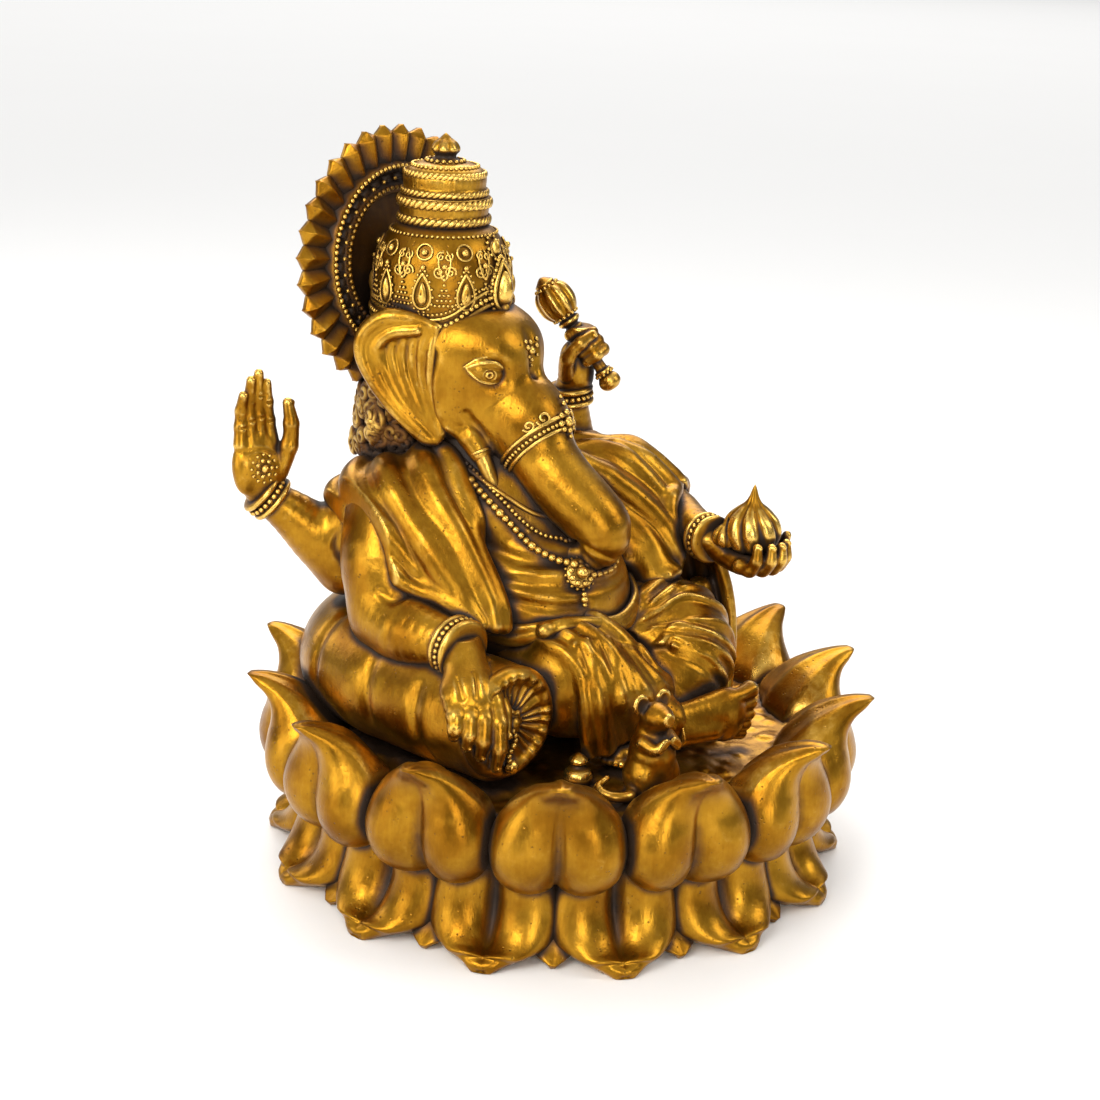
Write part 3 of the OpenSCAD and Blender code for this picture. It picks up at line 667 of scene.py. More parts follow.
def feltFinish():
    s = Shader("feltBlack")
    here = s.node("ShaderNodeTexCoord", give="Object")
    fibres = s.noise(s.stretch(here, (2600.0, 900.0, 2600.0), (0.2, 0.4, 0.9)), 1.0, 5.0, 0.7)
    lint = s.noise(here, 1400.0, 3.0)
    tone = s.mixed(fibres.between(0.35, 0.7), (0.006, 0.006, 0.006), (0.03, 0.028, 0.026))
    return s.finish(tone, 0.0, 0.93 + (lint - 0.5) * 0.08, fibres + lint * 0.4, 0.6, 0.0003,
                    constants={"Sheen Weight": 0.3, "Sheen Roughness": 0.6})


def floorFinish():
    s = Shader("paleFloor")
    here = s.node("ShaderNodeTexCoord", give="Object")
    tone = s.mixed(s.noise(here, 3.0, 2.0), studio["floorTone"],
                   tuple(0.985 * c for c in studio["floorTone"]))
    return s.finish(tone, 0.0, 0.8 + s.noise(here, 20.0) * 0.05)


felt = feltFinish()
floorMesh.materials.append(floorFinish())
finishes = {"antique_gilt": gilt, "bright_gilt": brightGilt, "dark_gilt": darkGilt, "felt": felt}


# dresses and registers a piece; its occlusion is worked out at the end
def keep(piece, slot, *nodes):
    piece.data.materials.clear()
    piece.data.materials.append(finishes[slot])
    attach(piece, "root")
    if nodes:
        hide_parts(*nodes)
    madePieces.append(piece)
    return piece


# ---- geometry node tools ----

def newTree(name, inputs):
    tree = bpy.data.node_groups.new(name, "GeometryNodeTree")
    tree.interface.new_socket(name="Geometry", in_out="INPUT", socket_type="NodeSocketGeometry")
    for label, kind in inputs:
        tree.interface.new_socket(name=label, in_out="INPUT", socket_type=kind)
    tree.interface.new_socket(name="Geometry", in_out="OUTPUT", socket_type="NodeSocketGeometry")
    return tree


def treeNode(tree, kind, settings=None, values=None):
    made = tree.nodes.new(kind)
    for key, value in (settings or {}).items():
        setattr(made, key, value)
    for key, value in (values or {}).items():
        socket = made.inputs[key]
        if isinstance(value, bpy.types.NodeSocket):
            tree.links.new(value, socket)
        else:
            socket.default_value = value
    return made


# ends a tree: its geometry gets the material and goes out
def closedTree(tree, geometry, material):
    dressed = treeNode(tree, "GeometryNodeSetMaterial", {}, {"Geometry": geometry,
        "Material": material}).outputs[0]
    out = treeNode(tree, "NodeGroupOutput")
    tree.links.new(dressed, out.inputs[0])
    return tree


# runs a tree on a carrier mesh and returns the result as a plain mesh piece
def runTree(name, carrier, tree, values):
    modifier = carrier.modifiers.new(name, "NODES")
    modifier.node_group = tree
    for item in tree.interface.items_tree:
        if item.in_out == "INPUT" and item.name in values:
            modifier[item.identifier] = values[item.name]
    evaluated = carrier.evaluated_get(bpy.context.evaluated_depsgraph_get())
    mesh = bpy.data.meshes.new_from_object(evaluated)
    carrier.modifiers.remove(modifier)
    piece = bpy.data.objects.new(name, mesh)
    bpy.context.scene.collection.objects.link(piece)
    mesh.shade_smooth()
    old = carrier.data
    bpy.data.objects.remove(carrier)
    bpy.data.meshes.remove(old)
    return piece


# copies of one piece round an axis, each a little different
def ringTree():
    tree = newTree("ringOf", [("Count", "NodeSocketInt"), ("Turn", "NodeSocketFloat"),
                              ("Axis", "NodeSocketVector"),
                              ("Centre", "NodeSocketVector"), ("Wobble", "NodeSocketFloat"),
                              ("Material", "NodeSocketMaterial")])
    put = treeNode(tree, "NodeGroupInput").outputs
    index = treeNode(tree, "GeometryNodeInputIndex").outputs[0]
    line = treeNode(tree, "GeometryNodePoints", {}, {"Count": put["Count"]}).outputs[0]
    share = treeNode(tree, "ShaderNodeMath", {"operation": "DIVIDE"},
                     {0: 2 * math.pi, 1: put["Count"]}).outputs[0]
    angle = treeNode(tree, "ShaderNodeMath", {"operation": "MULTIPLY_ADD"},
                     {0: index, 1: share, 2: put["Turn"]}).outputs[0]
    spin = treeNode(tree, "FunctionNodeAxisAngleToRotation", {},
                    {"Axis": put["Axis"], "Angle": angle}).outputs[0]
    home = treeNode(tree, "ShaderNodeVectorMath", {"operation": "SCALE"},
                    {0: put["Centre"], "Scale": -1.0}).outputs[0]
    moved = treeNode(tree, "GeometryNodeTransform", {}, {"Geometry": put["Geometry"],
        "Translation": home}).outputs[0]
    copies = treeNode(tree, "GeometryNodeInstanceOnPoints", {},
                      {"Points": line, "Instance": moved, "Rotation": spin}).outputs[0]
    real = treeNode(tree, "GeometryNodeRealizeInstances", {}, {"Geometry": copies}).outputs[0]
    spot = treeNode(tree, "GeometryNodeInputPosition").outputs[0]
    noise = treeNode(tree, "ShaderNodeTexNoise", {"noise_dimensions": "3D"},
                     {"Vector": spot, "Scale": 45.0, "Detail": 1.0})
    centred = treeNode(tree, "ShaderNodeVectorMath", {"operation": "SUBTRACT"},
                       {0: noise.outputs["Color"], 1: (0.5, 0.5, 0.5)}).outputs[0]
    push = treeNode(tree, "ShaderNodeVectorMath", {"operation": "SCALE"},
                    {0: centred, "Scale": put["Wobble"]}).outputs[0]
    back = treeNode(tree, "ShaderNodeVectorMath", {"operation": "ADD"},
                    {0: push, 1: put["Centre"]}).outputs[0]
    shifted = treeNode(tree, "GeometryNodeSetPosition", {}, {"Geometry": real, "Offset": back}).outputs[0]
    return closedTree(tree, shifted, put["Material"])


# round beads of their own sizes on a cloud of points
def beadTree():
    tree = newTree("strungBeads", [("Detail", "NodeSocketInt"), ("Squash", "NodeSocketVector"),
                                   ("Material", "NodeSocketMaterial")])
    put = treeNode(tree, "NodeGroupInput").outputs
    ball = treeNode(tree, "GeometryNodeMeshIcoSphere", {}, {"Radius": 1.0,
        "Subdivisions": put["Detail"]}).outputs[0]
    size = treeNode(tree, "GeometryNodeInputNamedAttribute", {"data_type": "FLOAT"},
                    {"Name": "size"}).outputs[0]
    way = treeNode(tree, "GeometryNodeInputNamedAttribute", {"data_type": "FLOAT_VECTOR"},
                   {"Name": "way"}).outputs[0]
    spin = treeNode(tree, "FunctionNodeAlignRotationToVector", {"axis": "Z"}, {"Vector": way}).outputs[0]
    scale = treeNode(tree, "ShaderNodeVectorMath", {"operation": "SCALE"},
                     {0: put["Squash"], "Scale": size}).outputs[0]
    cloud = treeNode(tree, "GeometryNodeMeshToPoints", {}, {"Mesh": put["Geometry"]}).outputs[0]
    copies = treeNode(tree, "GeometryNodeInstanceOnPoints", {},
                      {"Points": cloud, "Instance": ball, "Rotation": spin, "Scale": scale}).outputs[0]
    real = treeNode(tree, "GeometryNodeRealizeInstances", {}, {"Geometry": copies}).outputs[0]
    smooth = treeNode(tree, "GeometryNodeSetShadeSmooth", {}, {"Geometry": real}).outputs[0]
    return closedTree(tree, smooth, put["Material"])


ringOf, strungBeads = ringTree(), beadTree()


def ringPiece(name, petal, count, turn=0.0, axis=(0, 0, 1), centre=(0, 0, 0), wobble=0.0,
              slot="antique_gilt"):
    return runTree(name, petal, ringOf, {"Count": count, "Turn": math.radians(turn), "Axis": tuple(axis),
                                         "Centre": tuple(np.array(centre) * mm), "Wobble": wobble * mm,
                                         "Material": finishes[slot]})


# beads: rows of x, y, z, radius; ways are the directions that their flat sides face
def beadPiece(name, beads, ways=None, detail=2, squash=(1, 1, 1), slot="bright_gilt"):
    beads = np.array(beads, float)
    mesh = bpy.data.meshes.new(name)
    mesh.from_pydata((beads[:, :3] * mm).tolist(), [], [])
    mesh.attributes.new("size", "FLOAT", "POINT").data.foreach_set("value",
        (beads[:, 3] * mm).astype(np.float32))
    ways = np.broadcast_to(np.array((0, 0, 1) if ways is None else ways, np.float32), (len(beads), 3))
    mesh.attributes.new("way", "FLOAT_VECTOR", "POINT").data.foreach_set("vector",
        np.ascontiguousarray(ways, np.float32).ravel())
    carrier = bpy.data.objects.new(name + "Points", mesh)
    bpy.context.scene.collection.objects.link(carrier)
    return runTree(name, carrier, strungBeads, {"Detail": detail, "Squash": squash,
                                                "Material": finishes[slot]})


# even stations along a path: points and the way ahead
def spaced(points, gap, closed=False):
    line = throughPoints(points, 0.3, closed)
    if closed:
        line = np.concatenate([line, line[:1]])
    run = np.concatenate([[0], np.cumsum(np.linalg.norm(np.diff(line[:, :3], axis=0), axis=1))])
    n = max(2, int(round(run[-1] / gap)))
    s = np.linspace(0, run[-1], n, endpoint=False) if closed else np.linspace(0, run[-1], n + 1)
    out = np.stack([np.interp(s, run, line[:, k]) for k in range(line.shape[1])], 1)
    ahead = np.stack([np.interp(s + 0.05, run, line[:, k]) - np.interp(s - 0.05, run, line[:, k])
                      for k in range(3)], 1)
    return out, ahead / np.maximum(np.linalg.norm(ahead, axis=1), 1e-9)[:, None]


# ---- lotus ----

say("lotus")
lotus = {"petals": 14, "rows": 60, "across": 52, "sepalRows": 30, "sepalAcross": 28, "wobble": 0.8}


def bulge(t, n=2.3):
    return (1 - np.minimum(np.abs(t), 1) ** n) ** (1 / n)


# one petal facing -Y, lofted through stations of
# [outer radius, outer height, inner radius, inner height, half width, groove depth, roundness of the sides]
def petalPiece(name, stations, innerRidge, innerBow, rowCount=lotus["rows"], across=lotus["across"]):
    rows = throughPoints(stations, 0.12)
    keepRows = np.linspace(0, len(rows) - 1, rowCount).astype(int)
    rows = rows[keepRows]
    s = np.sin(np.linspace(-1, 1, across) * math.pi / 2)
    rings = []
    for outR, outZ, inR, inZ, wide, groove, side in rows:
        outer, inner = vec(outR, outZ), vec(inR, inZ)
        depth = max(np.linalg.norm(outer - inner), 0.05)
        inward = (inner - outer) / depth
        lobe = bulge((np.abs(s) - 0.5) / 0.5, 2.05)
        dip = np.where(np.abs(s) < 0.5, (1 - lobe) * groove * np.minimum(1, 0.35 + 0.65 * wide / 12), 0)
        edge = np.where(np.abs(s) >= 0.5, (1 - lobe) * min(side, depth * 0.72), 0)
        away = dip + edge
        front = np.stack([s * wide, outR + inward[0] * away, outZ + inward[1] * away], 1)
        t = np.linspace(1, -1, 22)[1:-1]
        hollow = (1 - t ** 2) * min(1, depth / 8) * innerBow + np.exp(-(t / 0.22) ** 2) * innerRidge * min(1,
            depth / 5)
        rest = depth - min(side, depth * 0.72)
        reach = min(side, depth * 0.72) + rest * np.minimum(1, (1 - np.abs(t)) * 4) ** 0.6
        backSide = np.stack([t * wide * 0.985, outR + inward[0] * (reach - hollow * (rest > 0.3)),
                             outZ + inward[1] * (reach - hollow * (rest > 0.3))], 1)
        ring = np.concatenate([front, backSide])
        rings.append(np.stack([ring[:, 0], -ring[:, 1], ring[:, 2]], 1))
    return loftPiece(name, rings)


deckTop, lowerTip = nodeBox("seat_deck")[1][2], nodeBox("lower_petals")[1][0]
upperTip, _, upperPeak = nodeBox("upper_petals")[1]

upperStations = [
    [57.5, 18.2, 55.5, 19.6, 3, 0.4, 1.0], [60.6, 17.4, 54, 20.2, 8.2, 2.8, 3.2],
    [64.6, 17.8, 54, 21.8, 11.4, 4.8, 5.4],
    [68.2, 20.4, 54, 24, 13.4, 5.6, 7.0], [70.4, 24.4, 54, 27, 14.4, 5.5, 7.8],
    [71.0, 28.6, 54, 30.6, 14.7, 4.9, 8.0],
    [70.3, 32.8, 55.5, 34.6, 13.7, 3.9, 7.6], [69.4, 36.0, 58.6, 38.2, 11.7, 2.5, 6.4],
    [69.3, 39.0, 62.0, 41.4, 8.8, 1.3, 4.6],
    [70.4, 41.8, 66.2, 44.0, 5.8, 0.5, 2.8], [upperTip - 1.6, 44.2, 70.2, 45.7, 3.3, 0.15, 1.5],
    [upperTip - 0.5, upperPeak - 0.7, 72.9, upperPeak, 1.9, 0.3, 0.7],
    [upperTip, upperPeak - 0.3, upperTip - 0.6, upperPeak, 0.5, 0.05, 0.1]]
petal = petalPiece("upperPetal", upperStations, -1.0, -1.3)
upperRing = ringPiece("upperPetals", petal, lotus["petals"], 180 / lotus["petals"], wobble=lotus["wobble"])
keep(upperRing, "antique_gilt", "upper_petals")

lowerStations = [
    [60.0, 24.5, 50, 21, 10.4, 3.8, 3.6], [61.0, 20.4, 50, 17, 12.4, 5.4, 5.2],
    [61.6, 16.4, 50, 12.5, 13.8, 6.6, 6.4],
    [62.3, 12.6, 50, 8.4, 14.7, 7.0, 7.0], [63.5, 9.4, 51, 4.2, 14.6, 6.4, 6.6],
    [65.0, 6.9, 53, 1.2, 13.2, 5.4, 5.2],
    [66.8, 5.2, 57, 0.2, 10.9, 3.9, 3.8], [68.6, 4.1, 62, 0.2, 8.0, 2.3, 2.6],
    [lowerTip + 0.2, 3.3, 66.4, 0.2, 5.2, 1.0, 1.6],
    [lowerTip + 1.2, 2.4, 69.4, 0.2, 2.7, 0.3, 0.9], [lowerTip + 1.7, 1.4, lowerTip + 0.8, 0.3, 0.5, 0.05,
                                                      0.15]]
petal = petalPiece("lowerPetal", lowerStations, 0.0, 0.0)
lowerRing = ringPiece("lowerPetals", petal, lotus["petals"], 0, wobble=lotus["wobble"])
keep(lowerRing, "antique_gilt", "lower_petals")

# small sepals that fill the gaps between the lower petals
fillStations = [
    [57, 20, 50, 18, 3.6, 0.4, 1.4], [59.6, 14, 50, 12, 5.4, 0.6, 2.2], [61.2, 8, 51, 6, 6.2, 0.6, 2.6],
    [62.6, 4.4, 53, 1.2, 5.4, 0.5, 2.0], [64.2, 2.6, 58, 0.3, 3.4, 0.3, 1.2],
    [65.4, 1.4, 64.6, 0.3, 0.8, 0.05, 0.2]]
petal = petalPiece("sepal", fillStations, 0.0, 0.0, lotus["sepalRows"], lotus["sepalAcross"])
sepals = ringPiece("lotusSepals", petal, lotus["petals"], 180 / lotus["petals"], wobble=0.4)
keep(sepals, "antique_gilt")

# the deck: a shallow round top, roughened like beaten ground and rising against the petals
deck = {"cell": 0.75, "lumps": 620, "seed": 4}
c = Clay((-60, -60, deckTop - 6), (60, 60, deckTop + 5), deck["cell"])
part, (x, y, z) = c.window(c.low, c.low + c.cell * c.count, 0)
flat = np.sqrt(x * x + y * y)
rise = np.clip((flat - 50) / 7, 0, 1) ** 2 * 1.6
c.field[part] = np.maximum(np.maximum(z - deckTop + 0.5 - rise, (deckTop - 4) - z), flat - 58.5)
rng = np.random.default_rng(deck["seed"])
for k in range(deck["lumps"]):
    r, a = 57 * math.sqrt(rng.uniform(0.2, 1)), rng.uniform(0, 2 * math.pi)
    size = rng.uniform(0.7, 1.7)
    c.blob((r * math.cos(a), r * math.sin(a), deckTop - 0.6 + rise.max() * max(0, (r - 52) / 9)),
           (size * 1.3, size, size * 0.55), 0.7,
           axes=turned(np.eye(3), rng.uniform(0, 180)))
keep(c.mesh("seatDeck"), "antique_gilt", "seat_deck")


# ---- bolster ----

say("bolster")
bolster = {"pleats": 22, "cell": 0.72}
ringLow, ringHigh = nodeBox("bolster_front_end")
boltLow, boltHigh = nodeBox("bolster_cushion")
frontX, frontY, backX = (ringLow[0] + ringHigh[0]) / 2, ringHigh[1], nodeBox("bolster_back_end")[0][0]
tubeZ = (ringLow[2] + ringHigh[2]) / 2 - 0.3
c = Clay((boltLow[0] - 3, frontY - 9, deckTop - 1.5), (backX + 3, boltHigh[1] + 3, boltHigh[2] + 3),
         bolster["cell"])
endSpot, endWay = vec(frontX + 2.2, frontY + 1.6, tubeZ + 0.9), unit((0.1, -0.995, 0))
sections = [[endSpot[0] + 0.2, endSpot[1] - 3, 46.2, 13.2], [frontX + 1.2, frontY + 9, 46, 13.4],
            [frontX - 1.0, frontY + 18, 46, 13.4], [frontX - 3, 6, 46, 13.6],
            [-41, 14, 46, 13.8], [-40, 27, 46, 13.6], [-30, 38, 46, 13.5], [-14, 42, 46, 13.5],
            [4, 41, 46, 13.2], [backX - 1, 39, 46, 12.8]]
c.limb([s[:3] for s in sections], [s[3] for s in sections], 0.5, step=2.0)
c.slice(endSpot, endWay, 1.2, reach=22)
c.slice((backX, 39, 46), (1, -0.1, 0), 1.2, reach=22)
c.slice((0, 0, deckTop - 0.8), (0, 0, -1), 0.3)
# soft creases where the cushion is pressed
rng = np.random.default_rng(11)
for k, (y0, z0) in enumerate([(-12, 6), (5, 4), (24, 7)]):
    a = rng.uniform(-20, 60)
    across = [[frontX - 13.5 * math.cos(math.radians(a + q)), y0 + q * 0.04,
               46 + 13.5 * math.sin(math.radians(a + q)) + z0 * 0.2] for q in (-38, -12, 14, 36)]
    c.limb(c.onSurface(across, 0.25), [0.1, 0.2, 0.18, 0.1], 3.0, cut=True)
keep(c.mesh("bolsterCushion"), "antique_gilt", "bolster_cushion")


# a gathered end: rolled rim, pleats that run to a button
def gatheredEnd(name, centre, direction, node):
    pleats = bolster["pleats"]
    profile = [[0.3, -1.2], [11.0, -1.2], [12.4, -0.6], [12.9, 0.6], [12.6, 1.9], [11.7, 2.8], [10.6, 3.0],
               [9.6, 2.5], [8.8, 1.8],
               [7.6, 1.5], [6.2, 1.3], [4.8, 1.1], [3.6, 0.8], [2.2, 0.6], [0.4, 0.6]]
    profile = throughPoints([[r, z, 0] for r, z in profile], 0.3)[:, :2]
    sides = pleats * 8
    a = np.linspace(0, 2 * math.pi, sides, endpoint=False)
    sway = 0.35 * np.sin(3 * a + 1) + 0.2 * np.sin(7 * a)
    rings = []
    for j, (r, z) in enumerate(profile):
        depth = 0.75 * np.clip((r - 1.5) / 3, 0, 1) * np.clip((12.2 - r) / 3.4, 0, 1) if z > 0 else 0
        wave = np.abs(np.sin(a * pleats / 2 + sway * 2))
        rings.append(np.stack([r * np.cos(a), r * np.sin(a), z + depth * (wave - 0.4)], 1))
    rings = np.array(rings) @ axesAlong(direction) + np.array(centre)
    return keep(loftPiece(name, rings), "antique_gilt", node)


gatheredEnd("bolsterFrontEnd", endSpot + (0, 0, 0.3) + endWay * -0.6, endWay, "bolster_front_end")
gatheredEnd("bolsterBackEnd", (backX + 0.2, 39, 46.3), (1, -0.1, 0), "bolster_back_end")
button = [[0.1, -0.8], [2.4, -0.8], [3.1, 0], [3.2, 0.8], [2.6, 1.4], [2.0, 1.3], [1.7, 1.6], [1.6, 2.2],
          [1.0, 2.8], [0.1, 3.0]]
button = throughPoints([[r, z, 0] for r, z in button], 0.2)[:, :2]
knob = lathe("bolsterButton", button, endSpot + (0, 0, 0.3) + endWay * 0.4, axesAlong(endWay), 40,
             lambda r, z, a: r * (1 + 0.09 * np.cos(a * 8) * (z < 1.5)))
keep(knob, "bright_gilt", "bolster_button")


# ---- halo ----

say("halo")
halo = {"rays": 32, "turn": 11.5, "lean": 86.5, "outer": 30.3, "waist": 22.6}
rayLow, rayHigh = nodeBox("halo_rays")
haloCentre = (rayLow + rayHigh) / 2 + (0.08, -0.72, 0.02)
lean, turn = math.radians(halo["lean"]), math.radians(halo["turn"])
rotate = Matrix.Rotation(turn, 3, "Z") @ Matrix.Rotation(lean, 3, "X")
haloAxes = np.array(rotate.transposed())     # rows: the halo's own x, y and its face normal


def onHalo(points):
    return np.array(points, float) @ haloAxes + haloCentre


# one pleat: a folded leaf, its ridge in the middle, its notched point outside
def haloPleat():
    share = math.pi / halo["rays"]
    rows = []
    for r, wide, ridge, base in [(18.5, 1.0, 0.2, -0.7), (21.2, 1.0, 0.9, -0.5), (22.6, 1.0, 1.5, -0.35),
                                 (25.0, 1.0, 1.75, -0.15), (27.4, 1.0, 1.9, 0.0), (28.5, 0.98, 1.85, 0.05),
                                 (28.9, 0.86, 1.6, 0.1), (29.5, 0.56, 1.15, 0.15), (30.1, 0.28, 0.7, 0.2),
                                 (halo["outer"] + 0.25, 0.04, 0.35, 0.2)]:
        w = r * math.sin(share) * wide * 1.02
        front = [[-w, base], [-w * 0.88, base + ridge * 0.15], [-w * 0.45, base + ridge * 0.66],
                 [-w * 0.07, base + ridge * 1.15], [0, base + ridge * 1.2],
                 [w * 0.07, base + ridge * 1.15], [w * 0.45, base + ridge * 0.66],
                 [w * 0.88, base + ridge * 0.15], [w, base]]
        backSide = [[w, base - 1.0], [w * 0.5, base - 1.35 + ridge * 0.2], [0, base - 1.5 + ridge * 0.35],
                    [-w * 0.5, base - 1.35 + ridge * 0.2], [-w, base - 1.0]]
        rows.append([[r, x, z] for x, z in front + backSide])
    fine = []
    for i in range(len(rows) - 1):
        for t in (0, 0.5):
            fine.append(np.array(rows[i]) * (1 - t) + np.array(rows[i + 1]) * t)
    fine.append(np.array(rows[-1]))
    return loftPiece("pleat", onHalo(np.array(fine)))


pleats = ringPiece("haloPleats", haloPleat(), halo["rays"], 180 / halo["rays"], axis=haloAxes[2],
                   centre=haloCentre, wobble=0.25)
# a pleated disc behind the ring, and its back
disc = [[15.2, -1.6], [15.2, 0.9], [16.4, 1.3], [17.2, 0.9], [17.8, 0.5], [19.6, 0.5], [20.2, 1.2],
        [21.0, 1.9], [21.7, 1.8], [22.2, 1.1],
        [22.4, -0.4], [23.6, -1.2], [22.0, -3.4], [19, -4.0], [14, -3.9], [8, -3.6], [4.6, -4.4],
        [3.0, -5.0], [0.02, -5.2], [0.02, -2.4], [8, -2.4], [14.6, -2.4]]


def tubeOfRevolution(name, profile, sides, place):
    profile = np.array(profile, float)
    a = np.linspace(0, 2 * math.pi, sides, endpoint=False)
    n = len(profile)
    points = np.stack([profile[None, :, 0] * np.cos(a)[:, None], profile[None, :, 0] * np.sin(a)[:, None],
                       np.broadcast_to(profile[None, :, 1], (sides, n))], 2).reshape(-1, 3)
    k = np.arange(n)
    quads = np.concatenate([np.stack([i * n + k, ((i + 1) % sides) * n + k,
                                      ((i + 1) % sides) * n + (k + 1) % n, i * n + (k + 1) % n], 1)
                            for i in range(sides)])
    if volumeOf(points, quads) < 0:
        quads = quads[:, ::-1]
    return makeMesh(name, place(points), quads)


plate = tubeOfRevolution("haloPlate", disc, 192, onHalo)
# small tags that stand round the ring, and the rope that edges it
tag = []
for r, w, z in [(17.7, 0.8, 0.4), (17.9, 0.95, 1.3), (18.7, 1.1, 1.7), (19.5, 1.15, 1.4), (19.8, 1.0, 0.4)]:
    tag.append([[r, -w, z - 0.5], [r, -w * 0.8, z], [r, w * 0.8, z], [r, w, z - 0.5], [r, w, -0.5],
                [r, -w, -0.5]])
tags = ringPiece("haloTags", loftPiece("tag", onHalo(np.array(tag))), halo["rays"], 0, axis=haloAxes[2],
                 centre=haloCentre, wobble=0.2)
keep(joinPieces("haloRays", [pleats, plate]), "antique_gilt", "halo_rays")
keep(tags, "bright_gilt", "halo_ring")
beads = []
for r, z, size, count in ((16.5, 1.35, 0.6, 72), (21.2, 2.0, 0.62, 96), (18.7, 2.1, 0.5, 32)):
    for k in range(count):
        a = 2 * math.pi * (k + 0.5) / count
        beads.append(list(onHalo([[r * math.cos(a), r * math.sin(a), z]])[0]) + [size])
keep(beadPiece("haloBeads", beads, detail=2), "bright_gilt", "halo_beads")


# ---- crown ----

say("crown")
crown = {"turn": 20.0, "studs": 10}
capLow, capHigh = nodeBox("crown_lower_ring")
headAxis = ((capLow[0] + capHigh[0]) / 2, (capLow[1] + capHigh[1]) / 2)


# the head's own frame: x to its left, y to its back
def onHead(points):
    points = np.array(points, float)
    out = turned(points, crown["turn"])
    out[..., 0] += headAxis[0]
    out[..., 1] += headAxis[1]
    return out


domeProfile = throughPoints([[14.6, 124, 0], [15.6, 127, 0], [15.7, 131, 0], [15.5, 135, 0], [15.2, 139, 0],
                             [14.3, 142.5, 0], [12.6, 145.4, 0],
                             [10.4, 147.4, 0], [8.5, 148.4, 0]], 0.5)[:, :2]


def domeRadius(z):
    return np.interp(z, domeProfile[:, 1], domeProfile[:, 0])


# a point on the dome: degrees round from the brow towards the left, height, lift
def onDome(items):
    items = np.array(items, float)
    a = np.radians(items[:, 0])
    r = domeRadius(items[:, 1]) + (items[:, 2] if items.shape[1] > 2 else 0)
    return onHead(np.stack([r * np.sin(a), -r * np.cos(a), items[:, 1]], 1))


headAxesRows = turned(np.eye(3), crown["turn"])
domeRows = [[0.05, 123.5]] + domeProfile.tolist() + [[0.05, 148.6]]
dome = lathe("crownDome", domeRows, (headAxis[0], headAxis[1], 0), headAxesRows, 128)


def turnedRing(name, rows, sides=128, wave=None):
    rows = throughPoints([[r, z, 0] for r, z in rows], 0.35)[:, :2]
    return lathe(name, rows, (headAxis[0], headAxis[1], 0), headAxesRows, sides, wave)


# fine flutes on the two plain stretches of the rings
def flutes(r, z, a):
    ripple = 0.018 * np.abs(np.cos(a * 22))
    return r * (1 + ripple * (150.2 < z < 151.6) + ripple * (156.0 < z < 158.6))


lower = turnedRing("crownLowerRing", [[0.05, 147.6], [8.9, 147.6], [9.9, 148.0], [10.3, 149.0],
                                      [10.0, 149.9], [9.9, 150.5], [10.0, 151.4], [10.2, 152.0],
                                      [10.5, 152.8], [10.2, 153.6], [9.6, 154.0], [0.05, 154.0]], wave=flutes)
upper = turnedRing("crownUpperRing", [[0.05, 153.6], [9.0, 153.6], [9.5, 154.2], [9.9, 154.9], [9.5, 155.7],
                                      [9.2, 156.3], [9.3, 157.6], [9.2, 158.6], [9.0, 159.3],
                                      [8.2, 160.1], [6.6, 160.9], [5.0, 161.3], [0.05, 161.4]], wave=flutes)
top = turnedRing("crownFinial", [[0.05, 160.6], [4.6, 160.7], [4.4, 161.4], [3.6, 161.7], [3.0, 161.9],
                                 [2.3, 162.4], [2.4, 163.0],
                                 [3.0, 163.7], [3.1, 164.5], [2.5, 165.6], [1.5, 166.4], [0.7, 167.2],
                                 [0.05, 167.7]], 96,
                 lambda r, z, a: r * (1 + 0.13 * np.abs(np.cos(a * 3.5)) * (162 < z < 166.6) - 0.06
                                      * (162 < z < 166.6)))


# a twisted rope laid round the crown
def ropeRound(radius, z, thick, count, lean=0.9):
    line = []
    for t in np.linspace(-1, 1, 7):
        a = math.radians(t * 360 / count * 0.75)
        line.append([radius * math.sin(a), -radius * math.cos(a), z + t * thick * lean])
    strand = wire("strand", onHead(line), [thick * 0.3, thick * 0.62, thick * 0.72, thick * 0.75,
                                           thick * 0.72, thick * 0.62, thick * 0.3], 8, 0.6)
    return ringPiece("rope", strand, count, 0, centre=(headAxis[0], headAxis[1], 0), slot="bright_gilt")


ropes = [ropeRound(10.1, 148.9, 1.0, 40), ropeRound(10.3, 152.7, 1.0, 40), ropeRound(9.6, 154.9, 0.75, 44),
         ropeRound(9.1, 158.9, 0.7, 46)]
keep(dome, "antique_gilt", "crown_dome")
keep(joinPieces("crownLowerRing", [lower] + ropes[:2]), "bright_gilt", "crown_lower_ring")
keep(joinPieces("crownUpperRing", [upper] + ropes[2:]), "bright_gilt", "crown_upper_ring")

# the finial's collar of beads
beads = [list(onHead([[7.4 * math.sin(a), -7.4 * math.cos(a), 160.6]])[0]) + [0.55]
         for a in np.linspace(0, 2 * math.pi, 40, endpoint=False)]
beads += [list(onHead([[4.2 * math.sin(a), -4.2 * math.cos(a), 161.6]])[0]) + [0.6]
          for a in np.linspace(0, 2 * math.pi, 18, endpoint=False)]
keep(joinPieces("crownFinial", [top, beadPiece("finialBeads", beads)]), "bright_gilt", "crown_finial")

# rim: a band that dips in front of each ear and rises over the brow
rimHeights = [[0, 131.2], [14, 131.4], [30, 129.6], [46, 126.6], [58, 125.4], [75, 125.2], [100, 126.2],
              [140, 127], [180, 127],
              [220, 127], [260, 126.2], [285, 125.2], [302, 125.4], [314, 126.6], [330, 129.6], [346, 131.4]]
rimLine = throughPoints([[a, z, 0] for a, z in rimHeights] + [[360, 131.2, 0]], 2.0)[:, :2]


